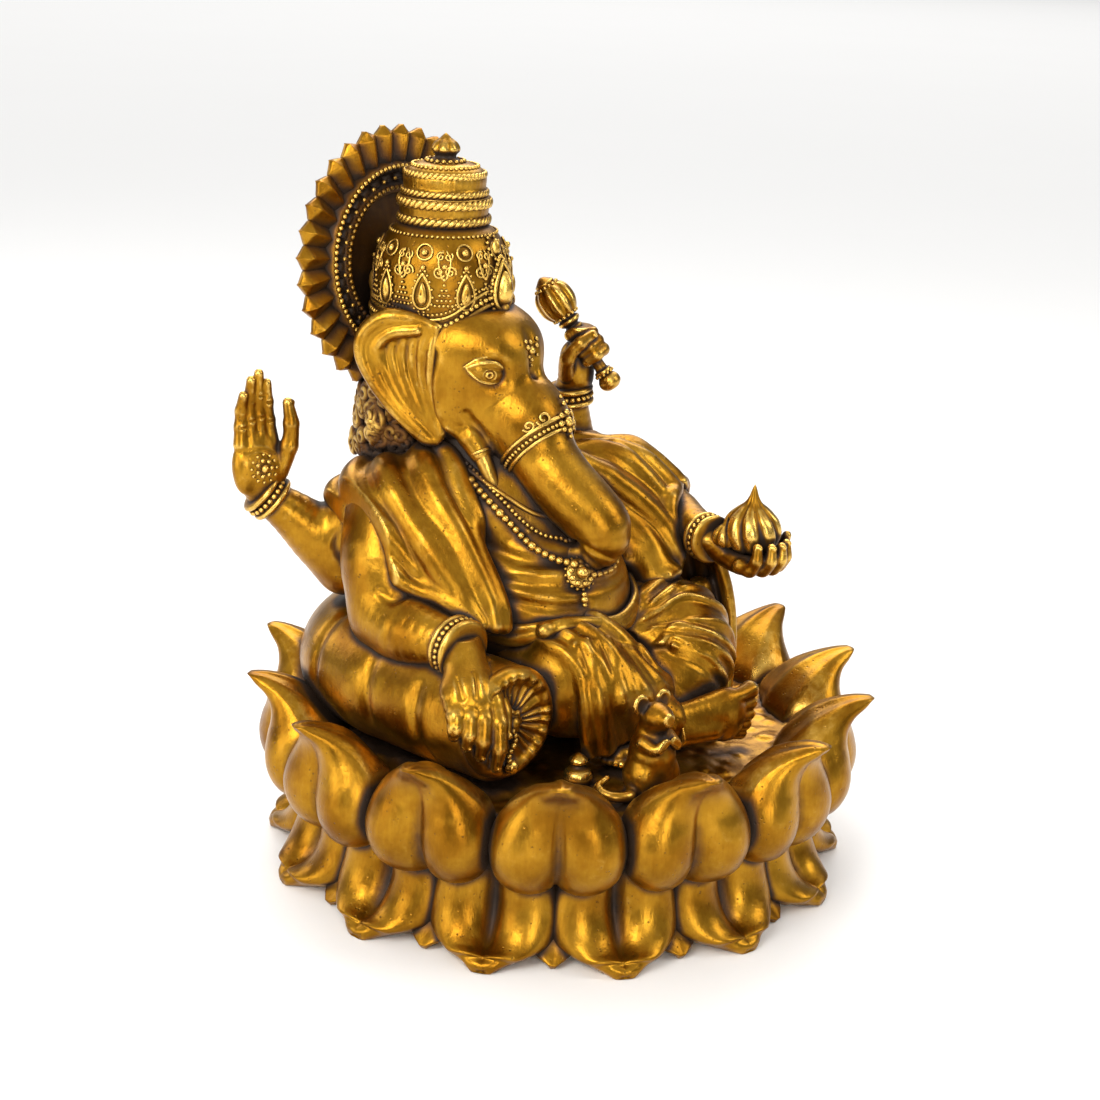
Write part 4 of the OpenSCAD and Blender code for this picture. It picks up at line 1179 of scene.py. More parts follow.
def alongRim(up, lift):
    return onDome([[a, z + up, lift] for a, z in rimLine])[:-1]


parts = [wire("rimBand", alongRim(0.0, 0.35), 0.62, 8, 0.8, True),
         wire("rimBand", alongRim(3.2, 0.25), 0.42, 8, 0.8, True)]
line, _ = spaced(alongRim(1.55, 0.5), 1.35, True)
rimBeads = [list(p) + [0.64] for p in line]
line, _ = spaced(alongRim(4.3, 0.3), 1.0, True)
rimBeads += [list(p) + [0.4] for p in line]
parts.append(beadPiece("rimBeads", rimBeads))
keep(joinPieces("crownRim", parts), "bright_gilt", "crown_rim_band")


# a spiral of wire on the dome
def spiral(a0, z0, size, turns, way, thick=0.32, start=0.0):
    out = []
    for t in np.linspace(0, 1, 22):
        g = start + way * turns * 2 * math.pi * t
        r = size * (1 - 0.82 * t)
        out.append([a0 + math.degrees(r * math.cos(g) / domeRadius(z0)), z0 + r * math.sin(g), 0.22])
    return wire("spiral", onDome(out), [thick] * 21 + [thick * 1.5], 7, 0.45)


def teardrop(a0, z0, tall, wide, thick=0.35, lift=0.3):
    loop = []
    for t in np.linspace(0, 2 * math.pi, 24, endpoint=False):
        x = wide * math.sin(t) * math.sin(t / 2) ** 0.9
        y = tall * math.cos(t)
        loop.append([a0 + math.degrees(x / domeRadius(z0)), z0 + y, lift])
    return wire("drop", onDome(loop), thick, 7, 0.4, True)


def cabochon(a0, z0, tall, wide, high, lift=0.1):
    here = onDome([[a0, z0, lift]])[0]
    outwards = unit(here - np.array([headAxis[0], headAxis[1], z0]))
    side = np.cross((0, 0, 1), outwards)
    rings = []
    for t in np.linspace(0, 1, 9):
        r = math.cos(t * math.pi / 2)
        h = high * math.sin(t * math.pi / 2)
        ring = []
        for g in np.linspace(0, 2 * math.pi, 28, endpoint=False):
            x = wide * math.sin(g) * (0.55 + 0.45 * math.sin(g / 2) ** 2 * 1.0) * r
            y = tall * math.cos(g) * r
            bow = -(x * x) / (2 * domeRadius(z0))
            ring.append(here + side * x + np.array((0, 0, 1)) * y + outwards * (h + bow - 0.15))
        rings.append(ring)
    return loftPiece("stone", rings)


parts, beads = [], []
for k in range(crown["studs"]):
    a0 = 360 / crown["studs"] * k
    if k:
        parts += [teardrop(a0, 134.6, 3.9, 2.5, 0.34), cabochon(a0, 134.0, 2.7, 1.55, 1.25)]
        for t in np.linspace(0, 2 * math.pi, 17, endpoint=False):
            x, y = 3.15 * math.sin(t) * (0.42 + 0.58 * math.sin(t / 2) ** 2), 4.7 * math.cos(t)
            beads.append(list(onDome([[a0 + math.degrees(x / 15.4), 134.7 + y, 0.3]])[0]) + [0.36])
        beads.append(list(onDome([[a0, 139.9, 0.45]])[0]) + [0.62])
    a1 = a0 + 180 / crown["studs"]
    # the beaded leaf between two drops: rows that narrow to the top
    for row, many in enumerate((5, 4, 3, 2, 1)):
        for j in range(many):
            beads.append(list(onDome([[a1 + (j - (many - 1) / 2) * 3.5, 131.6 + row * 1.15, 0.25]])[0])
                         + [0.4])
    for way in (-1, 1):
        parts += [spiral(a1 + way * 4.6, 139.0, 1.35, 1.4, way, 0.3, -0.4),
                  spiral(a1 + way * 3.4, 142.3, 1.0, 1.2, -way, 0.27, 0.9)]
        curve = [[a1 + way * 0.4, 137.2, 0.25], [a1 + way * 2.6, 138.2, 0.25], [a1 + way * 5.2, 141.4, 0.25],
                 [a1 + way * 1.4, 143.6, 0.25]]
        parts.append(wire("vine", onDome(curve), [0.2, 0.34, 0.3, 0.16], 7, 0.5))
    beads.append(list(onDome([[a1, 140.2, 0.4]])[0]) + [0.7])
    beads.append(list(onDome([[a1, 137.4, 0.35]])[0]) + [0.48])
    # medallion above each drop
    loop = [[a0 + math.degrees(1.75 * math.sin(t) / 14.4), 143.1 + 1.6 * math.cos(t), 0.25]
            for t in np.linspace(0, 2 * math.pi, 16, endpoint=False)]
    parts.append(wire("medal", onDome(loop), 0.3, 7, 0.4, True))
    beads.append(list(onDome([[a0, 143.1, 0.4]])[0]) + [0.85])
for z, size, count in ((146.2, 0.42, 64), (141.0, 0.0, 0)):
    for k in range(count):
        beads.append(list(onDome([[360 * k / count, z, 0.2]])[0]) + [size])
# the great drop over the brow in its beaded collar
parts += [teardrop(0, 135.4, 5.4, 3.9, 0.5, 1.3), cabochon(0, 134.8, 4.1, 2.9, 2.6, 1.0),
          cabochon(0, 130.4, 1.6, 1.6, 1.6, 1.2)]
for t in np.linspace(0, 2 * math.pi, 26, endpoint=False):
    x, y = 4.9 * math.sin(t) * (0.42 + 0.58 * math.sin(t / 2) ** 2), 6.5 * math.cos(t)
    beads.append(list(onDome([[math.degrees(x / 15.4), 135.4 + y, 0.9]])[0]) + [0.5])
parts += [cabochon(0, 135, 6.2, 4.6, 1.2, 0.0), cabochon(0, 143.6, 2.1, 1.9, 1.3, 0.3)]
for k in range(12):
    a = 2 * math.pi * k / 12
    beads.append(list(onDome([[math.degrees(2.6 * math.sin(a) / 14), 143.6 + 2.5 * math.cos(a), 0.5]])[0])
                 + [0.42])
parts.append(beadPiece("crownBeads", beads))
keep(joinPieces("crownJewels", parts), "bright_gilt", "crown_jewels")


# ---- body ----

say("body")
# how fine each shape is modelled
bodyCells = {"ghost": 0.8, "torso": 0.6, "legs": 0.47, "sash": 0.38, "rightFoot": 0.3, "leftFoot": 0.3,
             "cloth": 0.46, "arms": 0.42,
             "hands": 0.27, "head": 0.36, "eyes": 0.2, "ears": 0.36, "nape": 0.55, "chainGround": 0.6,
             "mouse": 0.27}


# a point set off from the middle of a node's box
def near(node, dx, dy, dz):
    low, high = nodeBox(node)
    return np.round((low + high) / 2 + (dx, dy, dz), 2)


bellyMiddle, chestMiddle, neckMiddle = near("torso", -0.75, -2.2, -3.9), near("torso", -2.75, 3.8,
    15.1), near("neck_peg", 0, 0, -2)
rightShoulder, leftShoulder = near("right_front_arm", 5, 9.5, 14.2), near("left_front_arm", -9.6, 7.5, 3.3)
rearElbowR, rearWristR, palmR = near("right_rear_arm", 3.3, -1.7, -7.9), near("right_rear_bangle", 1.5, -0.7,
    -1.5), near("right_rear_hand", -0.7, 1.4, -2)
frontElbowR, frontWristR, kneeR = near("right_front_arm", -2, 0.5, -10.8), near("right_front_bangle", -0.2,
    2.2, 0.2), near("right_leg", 3.5, -0.9, 1.7)
rearElbowL, rearWristL, palmL = near("left_rear_arm", 1.8, 1.9, -6.2), near("left_rear_bangle", 0.3, 0,
    -2.2), near("left_rear_hand", 1, -0.6, 3.4)
frontElbowL, frontWristL, openPalmL = near("left_front_arm", 3.4, -1.5, -4.7), near("left_front_bangle", 0.3,
    2.2, 0), near("left_front_hand", 1.2, 1.5, -1.9)


def torsoShape(c):
    c.limb([(-6, 6, 44), (-6.5, 4.5, 54), bellyMiddle, bellyMiddle + (0.5, 2, 6)], [19, 20.5, 20.8, 18.5], 3)
    c.blob(bellyMiddle + (0.5, -2.5, 0), (20.5, 19.0, 18.5), 5)
    c.limb([bellyMiddle + (-1, 5, 8), chestMiddle], [17, 14.5], 4)
    for side in (-8.5, 6.5):
        c.blob(chestMiddle + (side, -5.5, 1.5), (8.6, 7.4, 6.4), 3)
    c.limb([chestMiddle, rightShoulder + (5, 0, -1)], [13.5, 8.3], 5)
    c.limb([chestMiddle, leftShoulder + (-3, 0, -1)], [13.5, 7.8], 5)
    c.limb([chestMiddle + (0, 2, 6), neckMiddle, neckMiddle + (-1, 2, 3)], [11.5, 10, 10], 5)


def armShapes(c):
    c.limb([(-36, 26, 84), (-39.5, 31, 76), rearElbowR], [8.6, 8.4, 7.4], 2)
    c.limb([rearElbowR, (-45, 34.4, 74), (-51, 37, 80), rearWristR], [7.6, 7.2, 5.6, 4.5], 2)
    c.limb([(-37, 20, 84), (-41.5, 15, 74), frontElbowR + (0, 1, 0)], [9.6, 9.7, 8.8], 2)
    c.limb([frontElbowR + (0, 1, 0), (-42.4, 3, 61.6), (-41.4, -4, 61.3), frontWristR], [8.9, 8.6, 7.2, 5.4],
           2)
    c.limb([(20, 22, 86), rearElbowL], [7.6, 6.8], 2)
    c.limb([rearElbowL, (21.8, 26.6, 91), rearWristL], [6.8, 6.0, 4.5], 2)
    c.limb([(26, 12, 84), (31.5, 8, 79), frontElbowL], [8.6, 8.0, 7.2], 2)
    c.limb([frontElbowL, (34.4, -4, 75), frontWristL], [7.2, 6.0, 4.7], 2)


def rightLegShape(c):
    c.limb([(-11, 4, 47), kneeR + (0, 9, -0.5), kneeR], [16.5, 15.6, 14.4], 4)
    c.limb([kneeR + (1, -2, -1), kneeR + (7, -8, -3.5), kneeR + (12, -14, -7), kneeR + (15, -18, -9)],
           [13.2, 9.6, 6.4, 5], 4)
    c.limb([kneeR + (1, 2, 1), kneeR + (12, -3, -1.5), kneeR + (20, -5.5, -4.5)], [10, 6.4, 3.6], 4)


def leftLegShape(c):
    c.limb([(6, 4, 48), (14, -6, 51), (22, -15, 52.5), (20, -19, 48)], [15, 14.4, 13.2, 12.2], 4)
    c.limb([(20, -19, 48), (8, -24, 40)], [12, 9], 4)


ghost = Clay((-74, -48, deckTop - 2), (52, 54, 116), bodyCells["ghost"])
torsoShape(ghost)
rightLegShape(ghost)
leftLegShape(ghost)
armShapes(ghost)
ghost.limb([(-31, 15, 88), (-33, 6, 80), (-31, -3, 71), (-29, -8, 65)], [7.5, 7, 5.5, 4], 4)
ghost.limb([(17, 9, 86), (23, 3, 78), (24, -3, 69), (22, -7, 64)], [7, 6.5, 5, 4], 4)


def snapped(points, lift=0.5, clay=None):
    return (clay or ghost).onSurface(points, lift)


# resamples a curve to a number of points
def evenly(points, n):
    line = throughPoints(points, 1.0)
    run = np.concatenate([[0], np.cumsum(np.linalg.norm(np.diff(line[:, :3], axis=0), axis=1))])
    s = np.linspace(0, run[-1], n)
    return np.stack([np.interp(s, run, line[:, k]) for k in range(line.shape[1])], 1)


# cloth as a fan of touching pleats between guide curves, laid on what is under it
def pleatedCloth(c, guides, count, thin=1.0, thick=1.9, lift=0.6, waves=5.0, seed=1, lay=True,
                 hems=(1.6, 1.6), n=14, blend=1.0):
    rng = np.random.default_rng(seed)
    guides = np.array([evenly(g, n) for g in guides])
    u = np.linspace(0, 1, count)
    lines = np.zeros((count, n, 3))
    for k in range(n):
        across = throughPoints(guides[:, k], 0.4)
        run = np.linspace(0, 1, len(across))
        lines[:, k] = np.stack([np.interp(u, run, across[:, m]) for m in range(3)], 1)
    phase = rng.uniform(0, 6)
    for j in range(count):
        w = 0.5 + 0.5 * math.sin(2 * math.pi * waves * u[j] + phase + 0.8 * math.sin(5 * u[j] + phase))
        r = thin + (thick - thin) * w ** 1.5
        if j == 0:
            r = hems[0]
        if j == count - 1:
            r = hems[1]
        line = lines[j]
        if lay:
            line = snapped(line, lift + 0.5 * w)
        along = np.linspace(0, 1, n)
        c.limb(line, r * (0.92 + 0.12 * np.sin(along * 7 + j)), blend, step=1.5)
    return c


torsoLow, torsoHigh = nodeBox("torso")
c = Clay(torsoLow - 3, torsoHigh + (3, 3, 1), bodyCells["torso"])
torsoShape(c)
c.slice((0, 0, deckTop - 0.6), (0, 0, -1))
creases = {
    "under the breast": [(-28, -4, 79.5), (-20, -9.5, 77.5), (-11, -13, 76.5), (-1, -12.6, 77),
                         (8, -8, 78.5)],
    "upper belly": [(-27, -8, 74), (-18, -14.5, 72.4), (-8, -18, 71.8), (4, -16.6, 72.4), (12, -10, 74)],
    "middle belly": [(-25, -10, 69), (-17, -15.6, 67.4), (-9, -18.4, 66.8)]}
for depth, line in zip((1.1, 0.9, 0.55), creases.values()):
    c.limb(c.onSurface(line, 0.15), [0.2, depth, depth, depth, 0.2][:len(line)], 2.2, cut=True, step=1.2)
c.blob(c.onSurface([(-8, -19, 63.5)], 0.2)[0], (1.5, 1.4, 1.9), 1.4, cut=True)
c.limb(c.onSurface([(-9, -2.6, 90), (-8.6, -5.4, 85), (-8.2, -7, 81)], 0.1), [0.3, 0.8, 0.3], 2.4, cut=True)
for side in (-1, 1):
    c.blob(c.onSurface([(-8.4 + side * 8, -6, 82.4)], -0.1)[0], (1.1, 0.9, 1.1), 0.7)
keep(c.mesh("torso"), "antique_gilt", "torso")

legLow, legHigh = nodeBox("right_leg")
c = Clay((legLow[0] - 3, legLow[1] - 4, deckTop - 2), legHigh + (10, 3, 3), bodyCells["legs"])
rightLegShape(c)
c.slice((0, 0, deckTop - 0.5), (0, 0, -1))
sweep = ([kneeR + (-3, 8, 14), kneeR + (7, 0, 12), kneeR + (15, -6, 5), kneeR + (22, -9, -3)],
         [kneeR + (-11, 4, 10), kneeR + (-9, -9, 9), kneeR + (-6, -15, 0), kneeR + (-4, -16, -11)])
c.folds(*sweep, 5, 1.7, 2.6, -0.3, seed=5, sway=0.15, fade=0.3)
c.folds(*sweep, 4, 0.9, 2.2, 0.3, cut=True, seed=6, sway=0.15, fade=0.3)
for k in range(9):      # the hem flares from the knee over the shin
    t = k / 8
    bow = 3.2 * math.sin(math.pi * t)
    fall = c.onSurface([kneeR + (-5 + 16 * t, -8 - 2 * t, 10 - 4 * t),
                        kneeR + (-7 + 21 * t, -14 - bow, 1 - 1.5 * t)], 0.2).tolist()
    fall += [kneeR + (-6 + 27.5 * t, -14.6 + 3.2 * t - bow, -8 + 4.4 * t),
             kneeR + (-4.5 + 29 * t, -14.2 + 3.6 * t - bow, -13.5 + 8.5 * t)]
    r = 1.8 + 0.9 * (k % 2)
    c.limb(fall, [0.5, r * 0.8, r, r + 0.1], 1.2, step=1.4)
keep(c.mesh("rightLeg"), "antique_gilt", "right_leg")

legLow, legHigh = nodeBox("left_leg")
c = Clay((legLow[0] - 2, legLow[1] - 4, deckTop - 2), legHigh + 3, bodyCells["legs"])
leftLegShape(c)
c.slice((0, 0, deckTop - 0.5), (0, 0, -1))
c.folds([(2, -17, 61), (10, -13, 65), (22, -9, 66), (32, -6, 60)],
        [(3, -22, 56), (11, -24, 54), (20, -29, 50), (26, -30, 42)], 9, 1.0, 1.2, 0.0, seed=15, sway=0.5,
        fade=0.3)
c.folds([(2, -18, 60), (10, -15, 64), (22, -11, 65), (33, -9, 58)],
        [(3, -23, 55), (11, -25, 53), (20, -30, 48), (26, -30, 41)], 9, 0.6, 1.0, 0.2, cut=True, seed=16,
        sway=0.5, fade=0.3)
keep(c.mesh("leftLeg"), "antique_gilt", "left_leg")

# the sash round the waist and its knot
sashLow, sashHigh = nodeBox("waist_sash")
c = Clay(sashLow - 4, sashHigh + 4, bodyCells["sash"])
for k in range(4):
    z = k * 1.25
    line = snapped([(-27, -3, 59.5 + z), (-22, -12, 59 + z), (-13, -18.4, 58.4 + z), (-1, -18.8, 58.6 + z),
                    (9, -13, 60.4 + z), (14, -4, 62 + z)], 0.2 + 0.25 * (k % 2))
    c.limb(line, [0.9, 1.05, 0.95, 1.1, 0.95, 0.9], 0.5, step=1.3)
knot = snapped([(-17, -17, 60)], 1.0)[0]
c.blob(knot, (2.4, 1.8, 2.1), 0.7)
keep(c.mesh("waistSash", 1), "bright_gilt", "waist_sash")

# right foot, sole turned to the front
footLow, footHigh = nodeBox("right_foot")
c = Clay(footLow - 3, footHigh + 3, bodyCells["rightFoot"])
c.limb([(4, -34.5, 41), (9, -35.2, 41.2), (15, -36, 41.4), (19.5, -36.4, 41.2)], [4.4, 4.3, 5.0, 5.4], 1.5,
       flat=((0.1, -1, 0), 1.3))
c.blob((19.0, -37.4, 40.8), (4.8, 3.2, 6.4), 2.2)
c.limb([(6, -36.5, 38.6), (14, -38.6, 38.4)], [2.9, 2.2], 2)
for i, (dx, dz, r) in enumerate([(7.8, 4.6, 2.2), (8.2, 1.4, 1.75), (7.9, -1.3, 1.65), (7.1, -3.7, 1.5),
                                 (5.9, -5.8, 1.35)]):
    root, tip = vec(18.6, -37.8, 41 + dz * 0.85), vec(18.4 + dx * 0.95, -37.8, 41 + dz * 1.02)
    c.limb([root, (root + tip) / 2 + (0, -0.5, 0.1), tip], [r * 0.95, r * 0.85, r], 0.35, step=0.6)
    c.blob(tip + (0.5, -1.0 * r * 0.75, 0.3), (r * 0.5, 0.25, r * 0.55), 0.2)
c.slice((0, 0, deckTop - 0.4), (0, 0, -1))
keep(c.mesh("rightFoot"), "antique_gilt", "right_foot")

footLow, footHigh = nodeBox("left_foot")
c = Clay(footLow - 3, footHigh + 3, bodyCells["leftFoot"])
c.limb([(6, -25, 37), (-2, -29, 35.5), (-7, -31, 34.8)], [4.6, 3.9, 3.2], 1.5, flat=((0, 0, 1), 1.2))
for i in range(5):
    c.limb([(-6.5, -28.6 - i * 1.3, 34.6), (-10.2 + i * 0.45, -29.6 - i * 1.35, 33.8)],
           [1.25 - i * 0.08, 1.15 - i * 0.06], 0.35)
c.slice((0, 0, deckTop - 0.4), (0, 0, -1))
keep(c.mesh("leftFoot"), "antique_gilt", "left_foot")


# ---- cloth ----

say("cloth")
shawlLow, shawlHigh = nodeBox("right_shawl")
c = Clay(shawlLow - (6, 5, 5), shawlHigh + (9, 5, 5), bodyCells["cloth"])
guides = [[(-30, 38, 90), (-40, 34, 85), (-46, 24, 81), (-47, 13, 77), (-43, 3, 71), (-36, -6, 65)],
          [(-31, 35, 95), (-41, 28, 90), (-44, 18, 86), (-43, 8, 79), (-39, 0, 72), (-34, -7, 65)],
          [(-29, 30, 98), (-36, 22, 95), (-39, 12, 90), (-37, 3, 81), (-34, -4, 73), (-32, -9, 65)],
          [(-26, 24, 99), (-30, 15, 96), (-32, 5, 89), (-31, -3, 80), (-30, -8, 72), (-30, -11, 65)],
          [(-22, 16, 99), (-25, 8, 94), (-27, -1, 87), (-27, -8, 79), (-27, -11, 72), (-27, -13, 64)]]
pleatedCloth(c, guides, 26, 0.8, 2.2, 0.5, 4.6, 3, hems=(1.8, 1.5))
c.limb([(-31, 15, 88), (-33, 6, 80), (-31, -3, 71), (-29, -8, 65)], [7.5, 7, 5.5, 4], 1.5)
guides = [[(-18, 27, 98), (-19, 27, 88), (-21, 25, 78), (-22, 20, 66)],
          [(-22, 27, 98), (-25, 28, 88), (-26, 25, 78), (-26, 18, 66)],
          [(-27, 28, 96), (-30, 29, 88), (-30, 25, 78), (-29, 16, 66)],
          [(-30, 30, 93), (-34, 30, 86), (-33, 25, 78), (-31, 16, 68)]]
pleatedCloth(c, guides, 15, 1.0, 2.1, 0.4, 4, 4, hems=(1.5, 1.5))
keep(c.mesh("rightShawl"), "antique_gilt", "right_shawl")

shawlLow, shawlHigh = nodeBox("left_shawl")
c = Clay(shawlLow - (3, 6, 3), shawlHigh + 4, bodyCells["cloth"])
guides = [[(-4, 28, 97), (10, 27, 93), (24, 21, 90), (33, 13, 86), (38, 8, 80), (38, 6, 72)],
          [(-3, 20, 99), (10, 18, 94), (23, 13, 91), (32, 8, 86.5), (35, 4, 81), (33, 2, 73)],
          [(-2, 12, 98), (8, 10, 93), (20, 7, 89), (28, 3, 84), (29, -1, 77), (28, -3, 69)],
          [(-1, 6, 95), (7, 3, 90), (15, 0, 85), (21, -4, 79), (24, -6, 73), (25, -8, 66)],
          [(1, 2, 92), (5, -2, 87), (10, -5, 81), (15, -8, 75), (19, -10, 69), (21, -12, 64)]]
pleatedCloth(c, guides, 27, 0.8, 2.2, 0.5, 5.0, 13, hems=(1.5, 1.6))
c.limb([(17, 9, 86), (23, 3, 78), (24, -3, 69), (22, -7, 64)], [7, 6.5, 5, 4], 1.5)
c.limb([(16, 1, 76), (20, -4, 70), (20, -9, 65.5)], [5, 5.4, 4.6], 1.5)
keep(c.mesh("leftShawl"), "antique_gilt", "left_shawl")

# the end of the shawl, hanging from the left forearm to the deck
drapeLow, drapeHigh = nodeBox("side_drape")
c = Clay((drapeLow[0] - 4, drapeLow[1] - 3, deckTop - 1), drapeHigh + 3, bodyCells["cloth"])
guides = [[(38, -10, 71), (40.6, -13, 60), (41, -15.5, 48), (37, -19, 36), (35, -20, 31)],
          [(40, -5, 71), (43, -7, 60), (43.6, -9, 48), (41.5, -10, 38), (41, -10, 31)],
          [(39, 2, 71), (42, 1, 60), (43, 0, 48), (42.4, -1, 38), (42, -1, 31)],
          [(36, 9, 70), (39, 9, 60), (40, 9, 48), (40, 8, 38), (40, 8, 31)],
          [(30, 16, 68), (34, 17, 58), (36, 18, 46), (37, 18, 36), (37, 18, 31)]]
pleatedCloth(c, guides, 20, 1.3, 2.5, 0, 5.6, 23, lay=False, hems=(1.6, 1.6), blend=1.2)
c.limb([(34, 4, 66), (36, 3, 52), (36, 2, 36)], [5, 6, 5.5], 3)
c.limb([(30, 12, 62), (33, 12, 48), (33, 12, 34)], [5, 6, 5.5], 3)
c.limb([(36, -8, 60), (37, -10, 48), (35, -14, 36)], [3, 3.6, 3], 3)
c.slice((0, 0, deckTop - 0.5), (0, 0, -1))
keep(c.mesh("sideDrape"), "antique_gilt", "side_drape")

# the seam of the neck opening
neckLine = snapped([(-27, 20, 98), (-24, 8, 95), (-20, 0, 90), (-14, -5, 86), (-7, -6.4, 85), (0, -4, 88),
                    (4, 3, 93)], 0.35)
seam = wire("neckSeam", neckLine, 0.65, 10, 0.6)
keep(seam, "antique_gilt")


# ---- head ----

say("head")
headTurn = crown["turn"]


def toHead(points):
    points = np.array(points, float) - (headAxis[0], headAxis[1], 0)
    return turned(points, -headTurn)


trunkWorld = [(-11, 6, 108), (-10.5, 4, 105), (-9.5, 0.8, 99.5), (-7.8, -6, 93), (-5.2, -12.0, 88),
              (-3.2, -15.4, 84.2), (-3.4, -15.8, 80.8), (-5.2, -13.8, 77.6), (-7.6, -11.4, 77.2)]
trunkRadii = [8.6, 8.5, 8.2, 7.8, 7.4, 7.0, 6.0, 4.4, 3.2]
trunkLine = toHead(trunkWorld)


def headShape(c):
    c.blob((0, -1.5, 119.5), (15.4, 16.4, 15.0), 3)
    for side in (-1, 1):
        c.blob((side * 4.6, -10.5, 121.0), (9.2, 12.6, 9.5), 5)          # twin domes of the forehead
        c.blob((side * 5.2, -9.5, 111.5), (8.4, 9.4, 8.4), 5)            # cheeks under the eyes
        c.blob((side * 7.2, -9.6, 106.2), (5.4, 6.8, 5.6), 4)            # jowls
        c.blob((side * 7.0, -2.5, 110), (8.2, 9.4, 9.2), 5)
    c.blob((0, 3, 112), (12.4, 11, 11), 5)
    # the bridge
    c.limb([(0, -15.6, 120), (0, -17.2, 114), (0.5, -17.4, 109), trunkLine[1] + (0, -1, 0)],
           [8.2, 8.0, 8.0, 8.2], 6)
    c.limb([(0, -13.6, 117.6), (0, -14.6, 112), (0.4, -14.6, 107), trunkLine[1]], [9.4, 9.0, 8.7, 8.4], 5)
    c.limb(trunkLine, trunkRadii, 3)
    c.blob((0, -8, 102.6), (6.2, 6.6, 4.2), 3.5)                         # lower lip behind the trunk


headLow, headHigh = vec(-22, -52, 69), vec(32, 20, 133)
c = Clay(headLow, headHigh, bodyCells["head"])
headShape(c)
# the dip between the domes
c.limb([(0, -25, 126), (0, -25.6, 121), (0, -25.2, 116)], [0.3, 0.6, 0.3], 3.0, cut=True)
for side in (-1, 1):
    # socket of the eye; its lids come with the eyes further on
    socket = c.onSurface([(side * 9.2, -18.4, 117.6)], 0.0)[0]
    c.blob(socket + (side * 0.8, -1.9, 0), (4.6, 1.5, 2.9), 3.0, cut=True)
    # cheek fold that runs to the tusk, and the mouth's corner
    c.limb(c.onSurface([(side * 10.8, -15, 108), (side * 9.6, -17.4, 103.8), (side * 7.8, -18, 100.8)], 0.1),
           [0.3, 0.8, 0.5], 1.8, cut=True)
    c.limb(c.onSurface([(side * 11.6, -11, 104.6), (side * 9.4, -13.8, 101.8), (side * 6.6, -15, 100.4)],
                       -0.1), [0.7, 1.1, 0.8], 1.6)
    c.limb(c.onSurface([(side * 13.6, -8, 121), (side * 14.2, -6.4, 114), (side * 12.6, -7.4, 107)], 0.0),
           [0.4, 0.9, 0.4], 2.2, cut=True)
    # tusk sleeve
    c.limb([(side * 9.2, -15.4, 101.6), (side * 9.1, -17.6, 98.8)], [2.9, 2.6], 1.6)
# wrinkles across the tip of the trunk
line = throughPoints(trunkLine[2:], 0.5)
radii = np.interp(np.linspace(0, 1, len(line)), np.linspace(0, 1, len(trunkRadii[2:])), trunkRadii[2:])
spots = np.linspace(0.8, 0.95, 3)
rng = np.random.default_rng(3)
for t in spots:
    k = int(t * (len(line) - 2))
    ahead = unit(line[k + 1] - line[k])
    frameAxes = axesAlong(ahead)
    r = radii[k]
    a0 = rng.uniform(-0.5, 0.5)
    arc = [line[k] + r * (math.cos(a) * frameAxes[0] + math.sin(a) * frameAxes[1])
           for a in np.linspace(a0, a0 + 2 * math.pi, 15)]
    depth = 0.07 + 0.3 * max(0, t - 0.45)
    c.limb(c.onSurface(arc, 0.12), depth, 1.0 + 0.4 * t, cut=True, step=1.0)
tip, before = trunkLine[-1], trunkLine[-2]
c.blob(tip + unit(tip - before) * 2.6, (1.5, 1.0, 1.1), 0.8, cut=True,
       axes=axesAlong(unit(tip - before))[[2, 0, 1]])
c.slice((0, 0, 130.5), (0, 0, 1), 0.6)
headClay = c


def bakedHead(name, clay):
    piece = clay.mesh(name)
    count = len(piece.data.vertices)
    co = np.zeros(count * 3, np.float32)
    piece.data.vertices.foreach_get("co", co)
    co = onHead(co.reshape(-1, 3) / mm) * mm
    piece.data.vertices.foreach_set("co", co.astype(np.float32).ravel())
    piece.data.update()
    return piece


keep(bakedHead("head", c), "antique_gilt", "head", "trunk")

# almond eyes: ball, upper and lower lid, iris ring and pupil
parts, beads = [], []
for side in (-1, 1):
    centre = headClay.onSurface([(side * 9.3, -18.6, 117.7)], 0.0)[0]
    out = unit(headClay.outward(np.array([[side * 9.3, -19.4, 119.6]]))[0] * (1, 1, 0.25))
    along = unit(np.cross((0, 0, 1), out)) * side
    up = np.cross(out, along) * side
    up = up if up[2] > 0 else -up
    # the outer corner is the higher one
    along, up = along * 0.955 + up * 0.296, up * 0.955 - along * 0.296
    eye = Clay(centre - 7, centre + 7, bodyCells["eyes"])
    eye.blob(centre - out * 0.9, (4.7, 2.3, 2.8), 0.3, axes=np.array([along, out, up]))
    # the lowered lid
    eye.blob(centre + up * 1.95 - out * 0.95, (4.4, 2.25, 1.5), 0.25, axes=np.array([along, out, up]))
    lids = []
    for high, thick in ((2.75, 0.42), (-2.15, 0.36), (4.0, 0.3)):
        arc = []
        for t in np.linspace(-1, 1, 13):
            lift = high * (1 - t * t) + t * -0.35
            arc.append(centre + along * t * (5.2 + (high > 3) * 0.5) + up * lift + out
                       * (0.95 - 1.7 * t * t - (high > 3) * 0.5))
        lids.append((arc, thick))
    for arc, thick in lids:
        eye.limb(arc, [thick * 0.5] + [thick] * 11 + [thick * 0.5], 0.35, step=0.6)
    pupil = centre + out * 1.15 - up * 0.3
    ring = [pupil + along * 1.25 * math.cos(a) + up * 1.05 * math.sin(a)
            for a in np.linspace(0, 2 * math.pi, 15)]
    eye.limb(ring, 0.16, 0.25, cut=True, step=0.5)
    eye.blob(pupil + out * 0.3, (0.5, 0.5, 0.5), 0.2, cut=True)
    parts.append(bakedHead("eye", eye))
keep(joinPieces("eyes", parts), "bright_gilt", "eyes")

